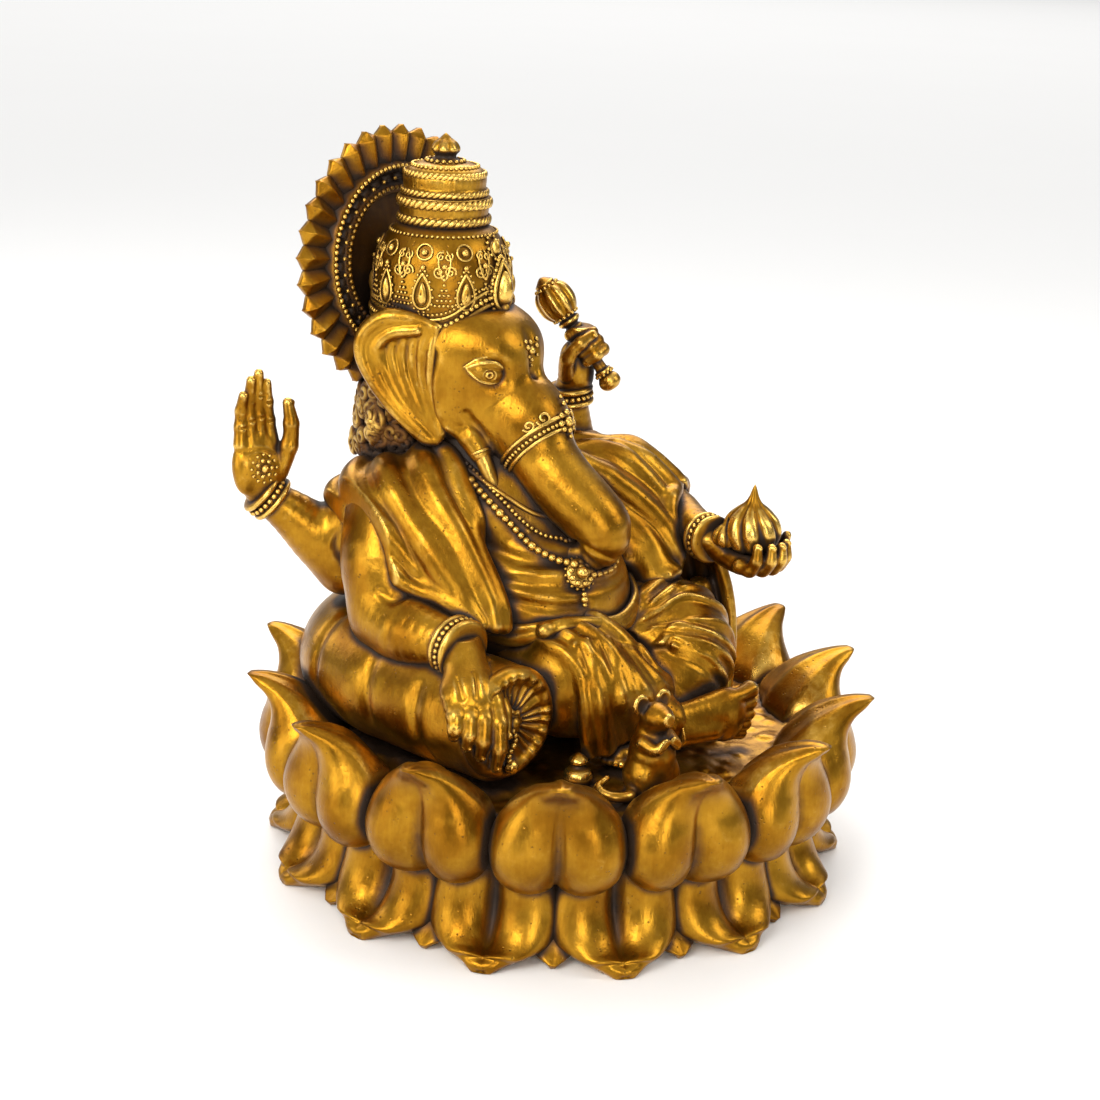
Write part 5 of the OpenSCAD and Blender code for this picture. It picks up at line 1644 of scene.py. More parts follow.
# tilak: a drop between beads on the brow
mark = headClay.onSurface([(0, -25, 122.0)], 0.1)[0]
beads = []
for dx, dz, r in [(0, 0, 1.05), (0, -2.1, 0.62), (0, -3.4, 0.45), (0, 2.0, 0.62), (1.6, 1.0, 0.6),
                  (-1.6, 1.0, 0.6), (2.3, 2.6, 0.5), (-2.3, 2.6, 0.5), (1.5, -1.2, 0.42), (-1.5, -1.2, 0.42)]:
    p = headClay.onSurface([(mark[0] + dx, mark[1] - 1, mark[2] + dz)], 0.1)[0]
    beads.append(list(onHead([p])[0]) + [r])
keep(beadPiece("foreheadMark", beads), "bright_gilt", "forehead_mark")

# tusks: the right one long and gently curved, the left one broken short
for name, node, path, radii in (("rightTusk", "right_tusk", [(-9.0, -16.6, 101), (-9.2, -19.2, 96.5),
    (-8.9, -22.0, 91), (-8.2, -25.6, 86.6)], [2.0, 1.95, 1.6, 0.5]),
                               ("leftTusk", "left_tusk", [(10.6, -16.4, 101.4), (11.3, -18.4, 98.6),
                                   (11.8, -20.4, 96.2)], [2.0, 1.9, 1.6])):
    root, ahead = np.array(path[0]), unit(np.array(path[1]) - np.array(path[0]))
    ringAxes = axesAlong(ahead)
    collar = [root + ahead * 2.4 + 2.3 * (math.cos(a) * ringAxes[0] + math.sin(a) * ringAxes[1])
              for a in np.linspace(0, 2 * math.pi, 16, endpoint=False)]
    horn = wire(name, onHead(path), radii, 20, 0.4)
    keep(joinPieces(name, [horn, wire("collar", onHead(collar), 0.5, 8, 0.4, True)]), "bright_gilt", node)


# ears: a flap that fans from its root, ribbed, with a rolled rim and a curled lobe
def earPiece(name, side, node):
    e = Clay((-26, -14, 96), (-8, 14, 132), bodyCells["ears"]) if side < 0 else Clay((8, -14, 96),
        (26, 14, 132), bodyCells["ears"])
    root = [(13.4, -8.0, 126.6), (14.2, -7.4, 121), (14.2, -7.2, 114), (13.4, -8.2, 108), (12.6, -9.4, 103)]
    middle = [(15.6, -2.8, 127.6), (17.0, 0.6, 122), (16.4, -0.6, 114.6), (15.2, -3.6, 107.6),
              (13.6, -7.4, 102)]
    outer = [(18.2, 2.8, 128.0), (21.2, 7.4, 121.8), (20.4, 4.6, 114.0), (17.6, -0.8, 106.6),
             (14.4, -6.6, 101.0)]
    flip = np.array((side, 1, 1))
    sunk = [np.array(g) * flip for g in (root, [(14.6, -5.0, 127.2), (15.0, -3.0, 121.6),
                                                (14.8, -3.4, 114.4), (14.0, -5.6, 107.8),
                                                (13.0, -8.2, 102.6)], middle,
                                         [(17.6, -0.4, 127.8), (18.6, 3.6, 122), (18.0, 1.8, 114.4),
                                          (16.4, -2.4, 107.2), (14.0, -7.0, 101.6)], outer)]
    pleatedCloth(e, sunk, 22, 0.5, 0.6, 0, 5, 31, lay=False, hems=(1.2, 1.1), blend=0.5)
    pleatedCloth(e, sunk, 8, 1.45, 1.6, 0, 5, 32, lay=False, hems=(1.2, 1.1), blend=0.25)
    rim = np.concatenate([np.array([(13.6, -7.4, 126.8), (15.8, -3.2, 128.3), (18.6, 2.4, 128.2),
                                    (20.8, 6.4, 124.6), (21.5, 6.9, 119.6), (20.2, 4.2, 113.4),
                                    (18.2, 0.4, 108.0), (16.0, -4.0, 103.2), (14.2, -7.2, 100.8),
                                    (12.8, -8.8, 101.6), (12.9, -8.4, 104)])]) * flip
    e.limb(rim, [1.5, 1.7, 2.1, 1.8, 1.4, 1.25, 1.2, 1.3, 1.4, 1.3, 0.9], 0.8, step=1.2)
    curl = np.array([(16.2, -4.6, 126.0), (18.4, 0.6, 125.0), (20.0, 3.6, 121.6), (19.6, 2.8, 117.0)]) * flip
    e.limb(curl, [1.3, 1.5, 1.2, 0.5], 0.7, step=1.2)
    return keep(bakedHead(name, e), "antique_gilt", node)


earPiece("rightEar", -1, "right_ear")
earPiece("leftEar", 1, "left_ear")

# curls of hair behind the ears and over the nape
rng = np.random.default_rng(8)
nape = Clay((-20, -4, 92), (20, 22, 126), bodyCells["nape"])
nape.limb([(0, 1.5, 122), (0, 3.0, 112), (0, 5, 102), (0, 8, 95)], [13.8, 14.2, 14.4, 13], 3)
nape.slice((0, -1, 110), (0, -1, 0), 1.0)
nape.folds([(-14, 2, 122), (-14, 4, 110), (-12, 8, 97)], [(14, 2, 122), (14, 4, 110), (12, 8, 97)], 20, 0.8,
           0.7, 0.1, seed=4, sway=0.8)
strands = []
for k in range(105):
    a, z = math.radians(rng.uniform(-105, 105)), rng.uniform(93.5, 120)
    side, size, way = vec(math.cos(a), -math.sin(a), 0), rng.uniform(1.5, 2.3), rng.choice([-1, 1])
    base = vec(13.6 * math.sin(a), 13 * math.cos(a) + 2.5, z)
    lock = [base + side * (size * (1 - 0.75 * t) * math.cos(way * t * 9 + k))
            + (0, 0, size * (1 - 0.75 * t) * math.sin(way * t * 9 + k)) for t in np.linspace(0, 1, 15)]
    lock = nape.onSurface(lock, 0.35) + vec(math.sin(a), math.cos(a), 0) * np.linspace(0, 0.7, 15)[:, None]
    strands.append(wire("curl", onHead(lock), [0.5] + [0.95] * 11 + [0.9, 0.8, 0.7], 8, 0.7))
keep(joinPieces("hairCurls", [bakedHead("nape", nape)] + strands), "dark_gilt", "hair_curls")

# the band about the trunk: beaded edges, scrolls and a flower in front
bandSpot, bandWay = toHead([(-9.8, 1.6, 101.2)])[0], unit(toHead([(-8, -6, 93)])[0] - toHead([(-9.8, 1.6,
    101.2)])[0])
bandAxes = axesAlong(bandWay)


def roundBand(t, lift, items):
    out = []
    for a, along in items:
        p = bandSpot + bandWay * (t + along) + 8.2 * (math.cos(a) * bandAxes[0] + math.sin(a) * bandAxes[1])
        out.append(p)
    return onHead(headClay.onSurface(out, lift))


circle = np.linspace(0, 2 * math.pi, 40, endpoint=False)
front = math.atan2(bandAxes[1] @ vec(0, -1, 0), bandAxes[0] @ vec(0, -1, 0))
parts = [wire("bandEdge", roundBand(0.2, 0.25, [(a, -0.9 * math.cos(a - front)) for a in circle]), 0.5, 8,
              0.6, True),
         wire("bandEdge", roundBand(3.0, 0.25, [(a, -0.9 * math.cos(a - front)) for a in circle]), 0.5, 8,
              0.6, True)]
beads = [list(p) + [0.55] for p in spaced(roundBand(1.6, 0.35,
                                                    [(a, -0.9 * math.cos(a - front)) for a in circle]), 1.15,
                                                    True)[0]]
for k, (da, dt, r) in enumerate([(0, 0, 1.3), (0.26, 0, 0.8), (-0.26, 0, 0.8), (0, -2.0, 0.8), (0, 2.2, 0.8),
                                 (0.2, 1.6, 0.7), (-0.2, 1.6, 0.7), (0.2, -1.6, 0.7), (-0.2, -1.6, 0.7),
                                 (0, -3.6, 0.6), (0, -4.9, 0.5), (0, 3.8, 0.6)]):
    beads.append(list(roundBand(1.6 - 0.9, 0.6, [(front + da, dt)])[0]) + [r])
for way in (-1, 1):
    for t0, size in ((0.62, 1.5), (0.98, 1.2)):
        loop = [(front + way * (t0 + size * 0.12 * (1 - 0.8 * t) * math.cos(t * 8)),
                 -1.6 + size * (1 - 0.8 * t) * math.sin(t * 8) - 0.6) for t in np.linspace(0, 1, 16)]
        parts.append(wire("scroll", roundBand(0.6, 0.35, loop), 0.36, 7, 0.45))
parts.append(beadPiece("bandBeads", beads))
keep(joinPieces("trunkBand", parts), "bright_gilt", "trunk_band")


# ---- arms and hands ----

say("arms")


# an arm's clay: its two stretches, cut square past the wrist where the hand begins
def armClay(node, upperArm, foreArm, wrist, elbow):
    low, high = nodeBox(node)
    a = Clay(low - 3, high + 3, bodyCells["arms"])
    for points, radii in (upperArm, foreArm):
        a.limb(points, radii, 3)
    ahead = unit(np.array(wrist) - np.array(elbow))
    a.slice(np.array(wrist) + ahead * 1.2, ahead, 0.3, reach=9)
    return a


# a shallow crease in the bend of an arm
def creased(arm, points, depth, blend):
    arm.limb(arm.onSurface(points, 0.1), [0.2, depth, 0.2], blend, cut=True)


upperArm = [(-36, 26, 84), (-39.5, 31, 76), rearElbowR], [8.6, 8.4, 7.4]
foreArm = [rearElbowR, (-45, 34.4, 74), (-51, 37, 80), rearWristR, rearWristR + (-2, 1, 2)], [7.6, 7.2, 5.6,
    4.4, 4.2]
a = armClay("right_rear_arm", upperArm, foreArm, rearWristR, rearElbowR)
a.blob(rearElbowR + (-1, 1.5, -3.4), (3.6, 3.8, 3.4), 3)
creased(a, [(-45, 27, 78), (-44.6, 28.6, 74.6), (-42.6, 29, 71.6)], 0.6, 1.6)
keep(a.mesh("rightRearArm"), "antique_gilt", "right_rear_arm")

bend = frontElbowR + (0, 1, 0)
upperArm = [(-37, 20, 84), (-41.5, 15, 74), bend], [9.6, 9.7, 8.8]
foreArm = [bend, (-42.4, 3, 61.6), (-41.4, -4, 61.3), frontWristR, frontWristR + (0, -3, -0.4)], [8.9, 8.6,
    7.2, 5.4, 5.2]
a = armClay("right_front_arm", upperArm, foreArm, frontWristR, frontElbowR)
creased(a, [(-48, 6, 70), (-46, 3.6, 67.6), (-43, 2.6, 67.4)], 0.7, 1.8)
keep(a.mesh("rightFrontArm"), "antique_gilt", "right_front_arm")

upperArm = [(20, 22, 86), rearElbowL], [7.6, 6.8]
foreArm = [rearElbowL, (21.8, 26.6, 91), rearWristL, rearWristL + (0, 0, 2)], [6.8, 6.0, 4.4, 4.2]
keep(armClay("left_rear_arm", upperArm, foreArm, rearWristL, rearElbowL).mesh("leftRearArm"), "antique_gilt",
     "left_rear_arm")

upperArm = [(26, 12, 84), (31.5, 8, 79), frontElbowL], [8.6, 8.0, 7.2]
foreArm = [frontElbowL, (34.4, -4, 75), frontWristL, frontWristL + (0, -2, 0)], [7.2, 6.0, 4.6, 4.4]
keep(armClay("left_front_arm", upperArm, foreArm, frontWristL, frontElbowL).mesh("leftFrontArm"),
     "antique_gilt", "left_front_arm")


# bangles: beaded bands about a wrist
def bangle(name, node, wrist, elbow, radius):
    way = unit(np.array(wrist) - np.array(elbow))
    axes = axesAlong(way)
    origin = np.array(wrist)
    rows = [[0.05, -0.2], [radius - 1.4, -0.2], [radius + 0.2, 0], [radius + 0.7, 0.7], [radius + 0.4, 1.3],
            [radius - 0.2, 1.6], [radius - 0.2, 3.0],
            [radius + 0.4, 3.3], [radius + 0.7, 3.9], [radius + 0.2, 4.6], [radius - 1.4, 4.8], [0.05, 4.8]]
    rows = throughPoints([[r, z, 0] for r, z in rows], 0.35)[:, :2]
    drum = lathe(name, rows, origin, axes, 72)
    beads = []
    for t, size, gap in ((2.3, 0.68, 1.4),):
        r = radius + 0.1
        many = int(2 * math.pi * r / gap)
        for k in range(many):
            g = 2 * math.pi * k / many
            p = origin + way * t + r * (math.cos(g) * axes[0] + math.sin(g) * axes[1])
            beads.append(list(p) + [size])
    return keep(joinPieces(name, [drum, beadPiece(name + "Beads", beads)]), "bright_gilt", node)


bangle("rightRearBangle", "right_rear_bangle", rearWristR, rearElbowR, 5.2)
bangle("rightFrontBangle", "right_front_bangle", frontWristR, frontElbowR, 6.4)
bangle("leftRearBangle", "left_rear_bangle", rearWristL, rearElbowL, 5.2)
bangle("leftFrontBangle", "left_front_bangle", frontWristL, frontElbowL, 5.2)


def finger(h, joints, radii, nail=None):
    h.limb(joints, radii, 0.45, step=0.6)
    joints = np.array(joints, float)
    for k in range(1, len(joints) - 1):
        h.blob(joints[k], radii[k] * 1.06, 0.6)
    if nail is not None:
        tip = joints[-1] + unit(nail) * radii[-1] * 0.72
        h.blob(tip, (radii[-1] * 0.62,) * 3, 0.15)


# raised right hand, palm to the front, with a flower in the palm
low, high = nodeBox("right_rear_hand")
h = Clay(low - 2, high + 2, bodyCells["hands"])
across, facing = unit((1, -0.12, 0)), unit((-0.12, -0.99, 0.05))
palmAxes = np.array([across, np.cross((0, 0, 1), across), (0, 0, 1)])
h.limb([rearWristR + unit(rearWristR - rearElbowR) * 3.4, palmR + (0.8, 0, -8.5), palmR + (0.6, 0, -4)],
       [4.0, 4.2, 4.4], 2, flat=(facing, 1.25))
h.blob(palmR + (0.3, 0, -2.5), (6.0, 2.7, 6.6), 2, axes=palmAxes)
h.blob(palmR + across * 3.6 + facing * 0.9 + (0, 0, -6.0), (2.9, 2.4, 4.2), 2, axes=palmAxes)
h.blob(palmR - across * 3.4 + facing * 0.8 + (0, 0, -5.5), (2.2, 2.0, 4.4), 2, axes=palmAxes)
for i, (long, bend) in enumerate([(13.6, 0.5), (15.6, 0.9), (14.4, 1.3), (11.4, 1.6)]):
    base = palmR + across * (3.7 - i * 2.5) + (0, 0, 1.8 - 0.35 * abs(i - 1.2))
    lean = across * (0.3 * i - 0.6)
    finger(h, [base, base + (0, 0, long * 0.36) + lean - facing * 0.5,
               base + (0, 0, long * 0.68) + lean * 1.6 - facing * (0.2 + bend * 0.3),
               base + (0, 0, long) + lean * 2.0 + facing * bend * 0.2],
           [1.75, 1.55, 1.4, 1.1], -facing)
    for g in (0.36, 0.68):
        h.limb([base + (0, 0, long * g) + lean - across * 1.2 + facing * 1.1,
                base + (0, 0, long * g) + lean + across * 1.2 + facing * 1.1], 0.2, 0.4, cut=True)
finger(h, [palmR + across * 5.0 + facing * 1.0 + (0, 0, -5.6),
           palmR + across * 7.0 + facing * 2.4 + (0, 0, 0.4),
           palmR + across * 7.4 + facing * 2.6 + (0, 0, 5.6),
           palmR + across * 6.8 + facing * 2.2 + (0, 0, 10.4)],
       [2.4, 2.0, 1.75, 1.25], across)
h.limb(h.onSurface([palmR + across * 3 + facing * 2.6 + (0, 0, -1), palmR + facing * 2.6 + (0, 0, 0.4),
                    palmR - across * 3.6 + facing * 2.6 + (0, 0, 0)], 0.1), 0.24, 0.6, cut=True)
hand = h.mesh("rightRearHand", 1)
flower = h.onSurface([palmR + facing * 3 + (0.4, 0, -4.0)], 0.15)[0]
beads = [list(flower + facing * 0.35) + [0.95]]
for ring, many, size in ((1.7, 7, 0.6), (3.0, 12, 0.42)):
    for k in range(many):
        g = 2 * math.pi * k / many
        p = h.onSurface([flower + across * ring * math.cos(g) + np.array((0, 0, 1)) * ring * 1.1
                         * math.sin(g)], 0.15)[0]
        beads.append(list(p) + [size])
keep(joinPieces("rightRearHand", [hand, beadPiece("palmFlower", beads)]), "antique_gilt", "right_rear_hand")

# the relaxed hand that hangs over the bolster's end
low, high = nodeBox("right_front_hand")
past = frontWristR + unit(frontWristR - frontElbowR) * 3.6
knucklesR = frontWristR + (-4.3, -15, -8.2)
h = Clay(knucklesR - (11, 10, 17), knucklesR + (13, 17, 11), bodyCells["hands"])
handWay, handSide = unit(knucklesR - past), unit((0.93, -0.3, 0))
handSide = unit(handSide - handWay * (handSide @ handWay))
handUp = unit(np.cross(handSide, handWay))
handAxes = np.array([handSide, handWay, handUp])
h.limb([past, past + handWay * 4, knucklesR - handWay * 4], [4.9, 5.0, 5.2], 2, flat=(handUp, 1.15))
h.blob(knucklesR - handWay * 3.2, (7.0, 6.4, 3.4), 2, axes=handAxes)
for i, (dx, dy, dz) in enumerate([(-2.4, -4.2, -12.6), (-2.6, -3.6, -10.6), (-2.2, -3.0, -8.2),
                                  (-1.8, -2.4, -5.4)]):
    base = knucklesR + handSide * (4.6 - i * 3.0) + (0, 0, 0.4 - 0.5 * abs(i - 1.2))
    tip = base + (dx, dy, dz)
    h.blob(base - handWay * 0.3 + handUp * 0.6, 2.1, 1.2)
    finger(h, [base, base + (dx * 0.5, dy * 0.75, dz * 0.24), base + (dx * 0.9, dy * 1.15, dz * 0.64), tip],
           [2.1, 1.95, 1.7, 1.25], (0, -1, 0.1))
    if i < 3:
        gap = base - handSide * 1.5 + (0, -0.4, 1.6)
        h.limb(h.onSurface([gap, gap - handWay * 3.4 + (0, 0, 0.8)], 0.15), [0.5, 0.15], 1.0, cut=True)
finger(h, [past + handWay * 4 + (4.6, 0, -1.4), knucklesR + (7.2, 3.0, 1.2), knucklesR + (7.4, -0.6, -3.4),
           knucklesR + (6.2, -3.2, -7.4)], [2.6, 2.3, 1.9, 1.3], (0.5, -1, 0))
keep(h.mesh("rightFrontHand", 1), "antique_gilt", "right_front_hand")

# beads held in its fingers
low, high = nodeBox("hanging_tassel")
middle = endSpot + endWay * 3.4 + (-1.6, 0, 0)
beads = [[middle[0] + 0.8 * math.sin(k * 0.9), middle[1] - 0.4, high[2] - 1 - k * 1.15,
          0.66 + 0.2 * (k == 3)] for k in range(int((high[2] - low[2]) / 1.15))]
tasselDrop = lathe("tasselDrop", [[0.05, -1.6], [0.9, -1.4], [1.5, -0.4], [1.3, 0.7], [0.7, 1.4],
                                  [0.05, 1.6]], (middle[0], middle[1] - 0.4, low[2] + 1.4), np.eye(3), 24,
                   lambda r, z, a: r * (1 + 0.12 * np.cos(a * 6)))
keep(joinPieces("hangingTassel", [tasselDrop, beadPiece("tasselBeads", beads)]), "bright_gilt",
     "hanging_tassel")

# left rear hand about the club
low, high = nodeBox("left_rear_hand")
clubLow, clubTop = near("club", 3.95, -3.95, -7.1), near("club", -5.55, 5.55, 10.9)
clubWay = unit(clubTop - clubLow)
h = Clay(low - 2.5, high + 2.5, bodyCells["hands"])
past = rearWristL + (0, 0, 3.6)
h.limb([past, palmL + (0.4, 1, -5), palmL + (0.2, 1, 0)], [4.2, 4.5, 4.3], 2, flat=((0, 1, 0), 1.15))
clubNear = clubLow + clubWay * 6
for i in range(4):
    spot = clubNear + clubWay * (4.6 - i * 2.45)
    a0 = unit(np.cross(clubWay, (0, -1, 0)))
    a1 = np.cross(clubWay, a0)
    ringPoints = [spot + 3.15 * (math.cos(g) * a0 + math.sin(g) * a1)
                  for g in np.radians([-150, -100, -50, 0, 50, 95])]
    finger(h, ringPoints, [1.5, 1.5, 1.5, 1.45, 1.35, 1.05])
finger(h, [palmL + (-3.6, 0, -4), palmL + (-5.4, -2.4, 0.6), palmL + (-3.4, -4.6, 4.6),
           palmL + (-0.4, -5.4, 6.6)], [2.1, 1.8, 1.5, 1.1], (0, -1, 0))
keep(h.mesh("leftRearHand", 1), "antique_gilt", "left_rear_hand")

# the club: knobbed foot, banded grip and a ribbed head
say("ornaments")
clubAxes = axesAlong(clubWay)
profile = [[0.05, -6.4], [1.5, -6.2], [2.6, -5.2], [2.7, -3.8], [2.0, -2.6], [1.5, -2.2], [2.1, -1.8],
           [2.1, -1.0], [1.55, -0.6], [1.5, 3], [1.6, 10], [2.2, 10.8], [2.3, 11.6], [1.7, 12.2],
           [2.7, 13], [2.8, 13.8], [2.2, 14.4], [3.4, 15.4], [4.4, 17.4], [4.6, 19.6], [4.2, 21.6],
           [3.2, 23.0], [2.4, 23.6], [2.5, 24.2], [1.7, 24.9], [0.8, 25.6], [0.05, 25.9]]
profile = throughPoints([[r, z, 0] for r, z in profile], 0.35)[:, :2]
club = lathe("club", profile, clubLow, clubAxes, 96, lambda r, z,
             a: r * (1 + 0.055 * np.cos(a * 10) * (15 < z < 23)))
beads = []
for z, r, count, size in ((15.0, 3.1, 16, 0.5), (23.3, 2.9, 15, 0.45), (-2.0, 2.2, 12, 0.4)):
    for k in range(count):
        g = 2 * math.pi * k / count
        beads.append(list(clubLow + clubWay * z + r * (math.cos(g) * clubAxes[0] + math.sin(g)
                                                       * clubAxes[1])) + [size])
keep(joinPieces("club", [club, beadPiece("clubBeads", beads)]), "antique_gilt", "club")

# left front hand, palm up under the sweet
low, high = nodeBox("left_front_hand")
sweet = near("modak_sweet", 0, 0, -1.3)
h = Clay(low - 2.5, high + (3, 2, 2.5), bodyCells["hands"])
past = frontWristL + unit(frontWristL - frontElbowL) * 3.4
h.limb([past, openPalmL + (-1.6, 3, 0.6), openPalmL + (0.4, -1.5, -0.6)], [3.8, 4.2, 4.6], 2,
       flat=((0, 0, 1), 1.35))
h.blob(openPalmL + (0.8, -2.4, -0.4), (6.0, 5.8, 2.7), 2)
for i, long in enumerate([11.2, 12.8, 12.0, 9.6]):
    base = openPalmL + (4.6 - i * 2.9, -4.6 - 0.6 * (i in (1, 2)), -0.4)
    finger(h, [base, base + (0.5, -long * 0.30, -0.4), base + (0.9, -long * 0.46, 2.2),
               base + (1.0, -long * 0.46, 5.4)], [1.8, 1.6, 1.45, 1.1], (0, -1, 0.2))
finger(h, [openPalmL + (4.2, 1.0, 0), openPalmL + (7.8, -1.6, 1.0), openPalmL + (9.2, -5.0, 3.2),
           openPalmL + (8.8, -6.6, 5.6)], [2.2, 1.8, 1.5, 1.1], (1, 0, 0.3))
h.blob(sweet + (0, 0, -0.2), (6.0, 6.0, 6.0), 0.8, cut=True)
keep(h.mesh("leftFrontHand", 1), "antique_gilt", "left_front_hand")

# the sweet: pleated dumplings piled to a point
profile = throughPoints([[r, z, 0] for r, z in [[0.05, -5.2], [3.0, -5.0], [5.8, -3.4], [7.0, -0.6],
                                                [6.9, 1.6], [5.9, 3.8], [4.0, 5.6], [2.2, 7.0], [1.2, 8.6],
                                                [0.6, 10.4], [0.05, 11.6]]], 0.3)[:, :2]
modak = lathe("modakSweet", profile, sweet, np.eye(3), 96, lambda r, z,
              a: r * (1 - 0.17 * np.abs(np.sin(a * 4 + z * 0.14)) ** 5 * (r > 0.5)))
small = []
for dx, dy in ((-5.0, 3.4), (4.4, 4.0), (-0.4, 6.0)):
    rows = profile * (0.5, 0.46)
    small.append(lathe("smallModak", rows, sweet + (dx, dy, -1.6), np.eye(3), 64, lambda r, z,
                       a: r * (1 - 0.16 * np.abs(np.sin(a * 3.5)) ** 5 * (r > 0.4))))
keep(joinPieces("modakSweet", [modak] + small), "bright_gilt", "modak_sweet")


# ---- necklaces and pendant ----

everything = Clay((-50, -34, 60), (36, 42, 112), bodyCells["chainGround"])
torsoShape(everything)
everything.limb(trunkWorld[1:], trunkRadii[1:], 1.0)
chain = [(-27, 19, 100), (-26, 9, 96), (-24, 0, 90), (-21, -6.4, 84.5), (-16.4, -11.4, 79),
         (-11.4, -14.8, 76.4), (-5, -16, 76.6), (2, -14.6, 79), (8, -9.6, 84), (11, -3, 90), (9, 5, 96)]
inner = [(-25, 17, 99.5), (-23, 7, 95), (-20.6, -1.4, 89), (-17.4, -6.8, 84.6), (-13, -10, 81.6),
         (-8.4, -11.2, 80.8), (-3, -10.6, 82), (2, -7, 86), (5, -1, 91)]
beads, ways = [], []
for path, size, gap, lift in ((chain, 0.92, 1.75, 0.9), (inner, 0.62, 1.2, 0.7)):
    line, _ = spaced(snapped(evenly(path, 30), lift, everything), gap)
    for k, p in enumerate(line):
        beads.append(list(p) + [size * (1.25 if k % 6 == 3 and size > 0.8 else 1)])
links = wire("chainCord", snapped(evenly(chain, 30), 0.7, everything), 0.32, 6, 1.0)
keep(joinPieces("beadNecklace", [beadPiece("necklaceBeads", beads), links]), "bright_gilt", "bead_necklace")

spot = snapped([(-9.6, -16.6, 74.4)], 0.6, everything)[0]
out = unit(everything.outward(np.array([spot]))[0])
pendAxes = axesAlong(out)
beads = [list(spot + out * 0.9) + [1.5]]
for k in range(9):
    g = 2 * math.pi * k / 9
    beads.append(list(spot + out * 0.2 + 2.5 * (math.cos(g) * pendAxes[0] + math.sin(g) * pendAxes[1]))
                 + [0.85])
for k in range(16):
    g = 2 * math.pi * k / 16
    beads.append(list(spot - out * 0.2 + 3.7 * (math.cos(g) * pendAxes[0] + math.sin(g) * pendAxes[1]))
                 + [0.42])
down = -pendAxes[1] if pendAxes[1][2] > 0 else pendAxes[1]
for t, r in ((4.9, 0.7), (6.1, 0.9), (7.4, 0.6)):
    p = snapped([spot + down * t], 0.7, everything)[0]
    beads.append(list(p) + [r])
plateRows = [[0.05, -1.0], [3.0, -1.0], [3.5, -0.4], [3.3, 0.3], [2.2, 0.5], [0.05, 0.5]]
keep(joinPieces("pendant", [lathe("pendantPlate", plateRows, spot, pendAxes, 40),
                            beadPiece("pendantBeads", beads)]), "bright_gilt", "pendant")


# ---- mouse ----

low, high = nodeBox("mouse")
mx, my = near("mouse", 1.3, -1.64, 0)[:2]
m = Clay(low - (3, 3, 1), high + 3, bodyCells["mouse"])
m.limb([(mx, my, 35.6), (mx, my - 0.6, 40), (mx, my, 45)], [5.2, 5.3, 3.8], 2)
m.blob((mx - 0.2, my - 1.6, 49.4), (3.4, 4.0, 3.3), 1.4)
m.limb([(mx - 0.2, my - 2.6, 49.4), (mx - 0.6, my - 5.6, 50.2), (mx - 0.8, my - 7.0, 50.8)], [2.8, 1.7, 0.9],
       1.2)
for side in (-1, 1):
    m.blob((mx + side * 3.2, my + 0.4, 52.2), (2.2, 0.9, 2.4), 0.6)
    m.blob((mx + side * 3.2, my - 0.5, 52.3), (1.4, 0.7, 1.6), 0.5, cut=True)
    m.blob((mx + side * 1.7 - 0.3, my - 4.2, 50.9), (0.55, 0.5, 0.55), 0.15)
    m.limb([(mx + side * 3.6, my - 1.6, 44), (mx + side * 3.0, my - 5.0, 43.4),
            (mx + side * 1.2, my - 6.2, 45)], [1.7, 1.3, 1.1], 0.7)
    m.blob((mx + side * 3.6, my - 0.8, 35.6), (3.0, 4.4, 4.0), 1.2)
    m.limb([(mx + side * 3.6, my - 3.6, 32.6), (mx + side * 4.2, my - 6.2, 32.2)], [1.6, 1.3], 0.6)
    for k in range(3):
        m.limb([(mx + side * (3.4 + k * 0.7), my - 6.0, 32.2),
                (mx + side * (3.5 + k * 0.8), my - 7.4, 31.9)], 0.5, 0.2)
m.limb([(mx - 3, my + 1, 33.0), (mx - 8, my - 2.6, 32.8), (mx - 12, my - 1.0, 33.2),
        (mx - 12.4, my + 2.4, 34.2), (mx - 9.4, my + 3.2, 35.2)], [1.5, 1.3, 1.1, 0.9, 0.7], 0.8)
m.slice((0, 0, deckTop - 0.4), (0, 0, -1))
potRows = throughPoints([[r, z, 0] for r, z in [[0.05, 0], [2.2, 0], [3.3, 1.6], [3.0, 3.4], [1.5, 4.4],
                                                [1.3, 5.0], [2.1, 5.6], [2.0, 6.4], [0.9, 7.4],
                                                [0.05, 7.8]]], 0.3)[:, :2]
pot = lathe("offeringPot", potRows, kneeR[:2].tolist() + [deckTop - 0.8] - vec(8.4, 15, 0), np.eye(3), 48)
keep(joinPieces("mouse", [m.mesh("mouse", 1), pot]), "antique_gilt", "mouse")


# ---- painted shade, painted highlight and wear: how hidden each place is, and how it is curved ----

say("paintedShadeAndWear")


def meshArrays(piece):
    mesh = piece.data
    points = np.zeros(len(mesh.vertices) * 3, np.float32)
    mesh.vertices.foreach_get("co", points)
    normals = np.zeros(len(mesh.vertices) * 3, np.float32)
    mesh.vertex_normals.foreach_get("vector", normals)
    mesh.calc_loop_triangles()
    triangles = np.zeros(len(mesh.loop_triangles) * 3, np.int32)
    mesh.loop_triangles.foreach_get("vertices", triangles)
    edges = np.zeros(len(mesh.edges) * 2, np.int32)
    mesh.edges.foreach_get("vertices", edges)
    return points.reshape(-1, 3), normals.reshape(-1, 3), triangles.reshape(-1, 3), edges.reshape(-1, 2)


# each probe is a height above the surface and the weight of what it meets there
paintedShadeAndWear = {"cell": 0.7, "probes": ((1.0, 0.22), (2.0, 0.28), (3.6, 0.28), (5.6, 0.22)), "blurs": 3}


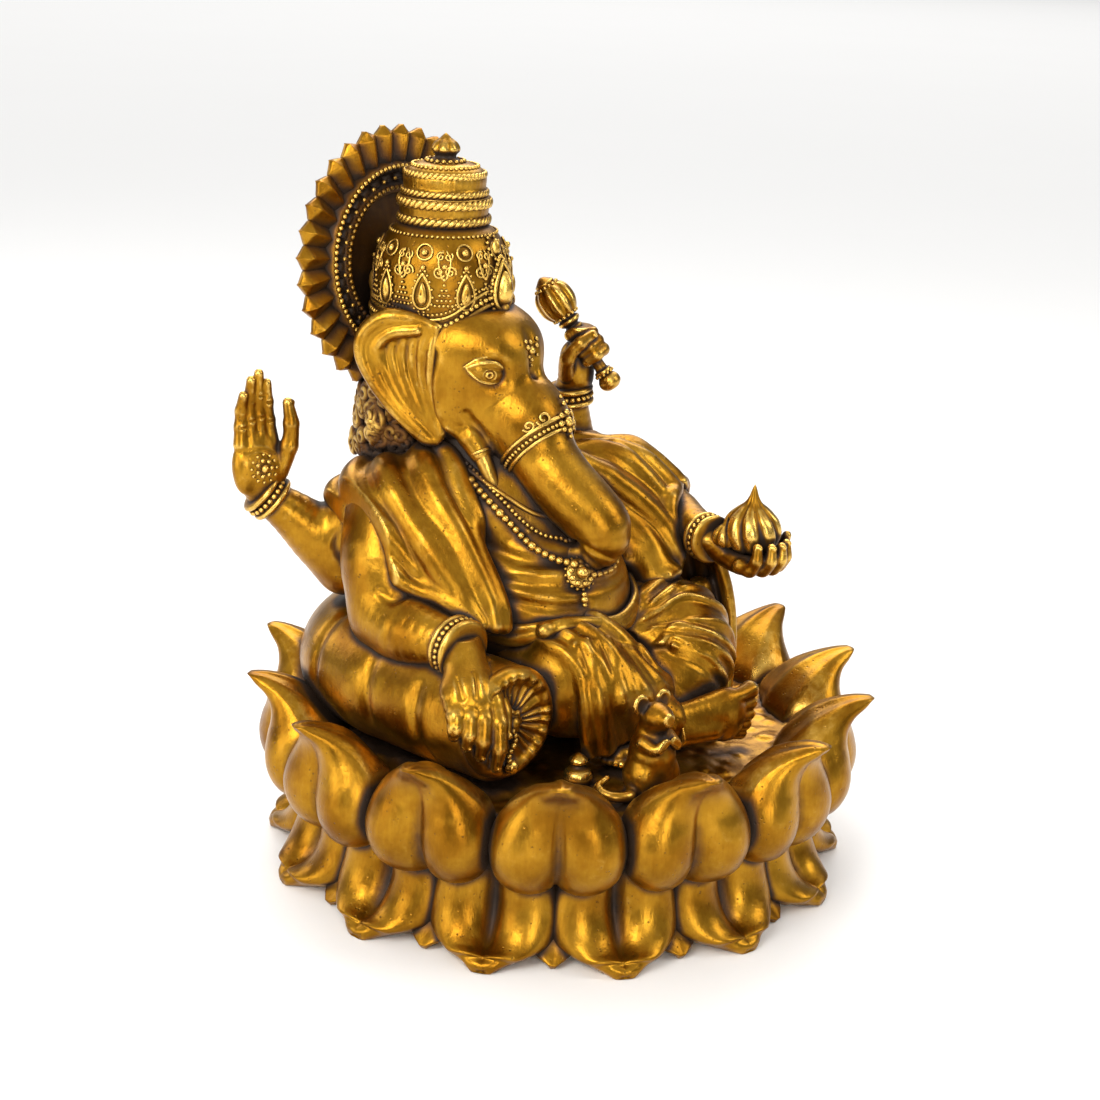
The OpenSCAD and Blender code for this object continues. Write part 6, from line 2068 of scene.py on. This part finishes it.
def paintedShadeAndWearAll(pieces):
    cell = paintedShadeAndWear["cell"]
    data = [meshArrays(piece) for piece in pieces]
    start = np.cumsum([0] + [len(d[0]) for d in data])
    points = np.concatenate([d[0] for d in data]) / mm
    triangles = np.concatenate([d[2] + s for d, s in zip(data, start)])
    grid = openvdb.FloatGrid.createLevelSetFromPolygons(
        points=points.astype(np.float32), triangles=triangles.astype(np.uint32),
        transform=openvdb.createLinearTransform(voxelSize=cell), halfWidth=9.0)
    low = np.floor(points.min(0) / cell).astype(int) - 14
    count = np.ceil(points.max(0) / cell).astype(int) + 14 - low
    dense = np.full(count, 9 * cell, np.float32)
    grid.copyToArray(dense, ijk=tuple(int(v) for v in low))
    for piece, (own, normals, _, edges) in zip(pieces, data):
        own = own.astype(float) / mm
        normals = normals.astype(float)
        hidden = np.zeros(len(own))
        for reach, weight in paintedShadeAndWear["probes"]:
            d = cornersMixed(dense, (own + normals * reach) / cell - low)
            hidden += weight * np.clip((reach - d) / reach, 0, 1.4)
        long = np.linalg.norm(own[edges[:, 0]] - own[edges[:, 1]], axis=1).mean()
        bend = -np.einsum("ij,ij->i", neighbourMean(own, edges, len(own)) - own, normals) / max(long,
            1e-3) ** 2
        for _ in range(paintedShadeAndWear["blurs"]):
            bend = 0.5 * bend + 0.5 * neighbourMean(bend, edges, len(own))
            hidden = 0.5 * hidden + 0.5 * neighbourMean(hidden, edges, len(own))
        # painted shade and wash come from how hidden a place is; rubbed wear and painted highlight come from
        # how convex it is
        piece.data.attributes.new("shade", "FLOAT", "POINT").data.foreach_set("value",
            np.clip(hidden, 0, 1).astype(np.float32))
        piece.data.attributes.new("edge", "FLOAT", "POINT").data.foreach_set("value",
            np.clip(bend * 0.9, -1, 1).astype(np.float32))


paintedShadeAndWearAll(madePieces)

# the casting's own solids that stay in view, or hidden inside, as they are
slotOfNode = {"felt_pad": "felt", "base_cover": "dark_gilt", "figure_pegs": "dark_gilt",
              "neck_peg": "dark_gilt"}
for node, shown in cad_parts.items():
    finish = finishes[slotOfNode.get(node, "antique_gilt")]
    for slotItem in shown.material_slots:
        slotItem.material = finish

say("%d pieces, %d triangles" % (len(madePieces), sum(len(p.data.loop_triangles) for p in madePieces)))
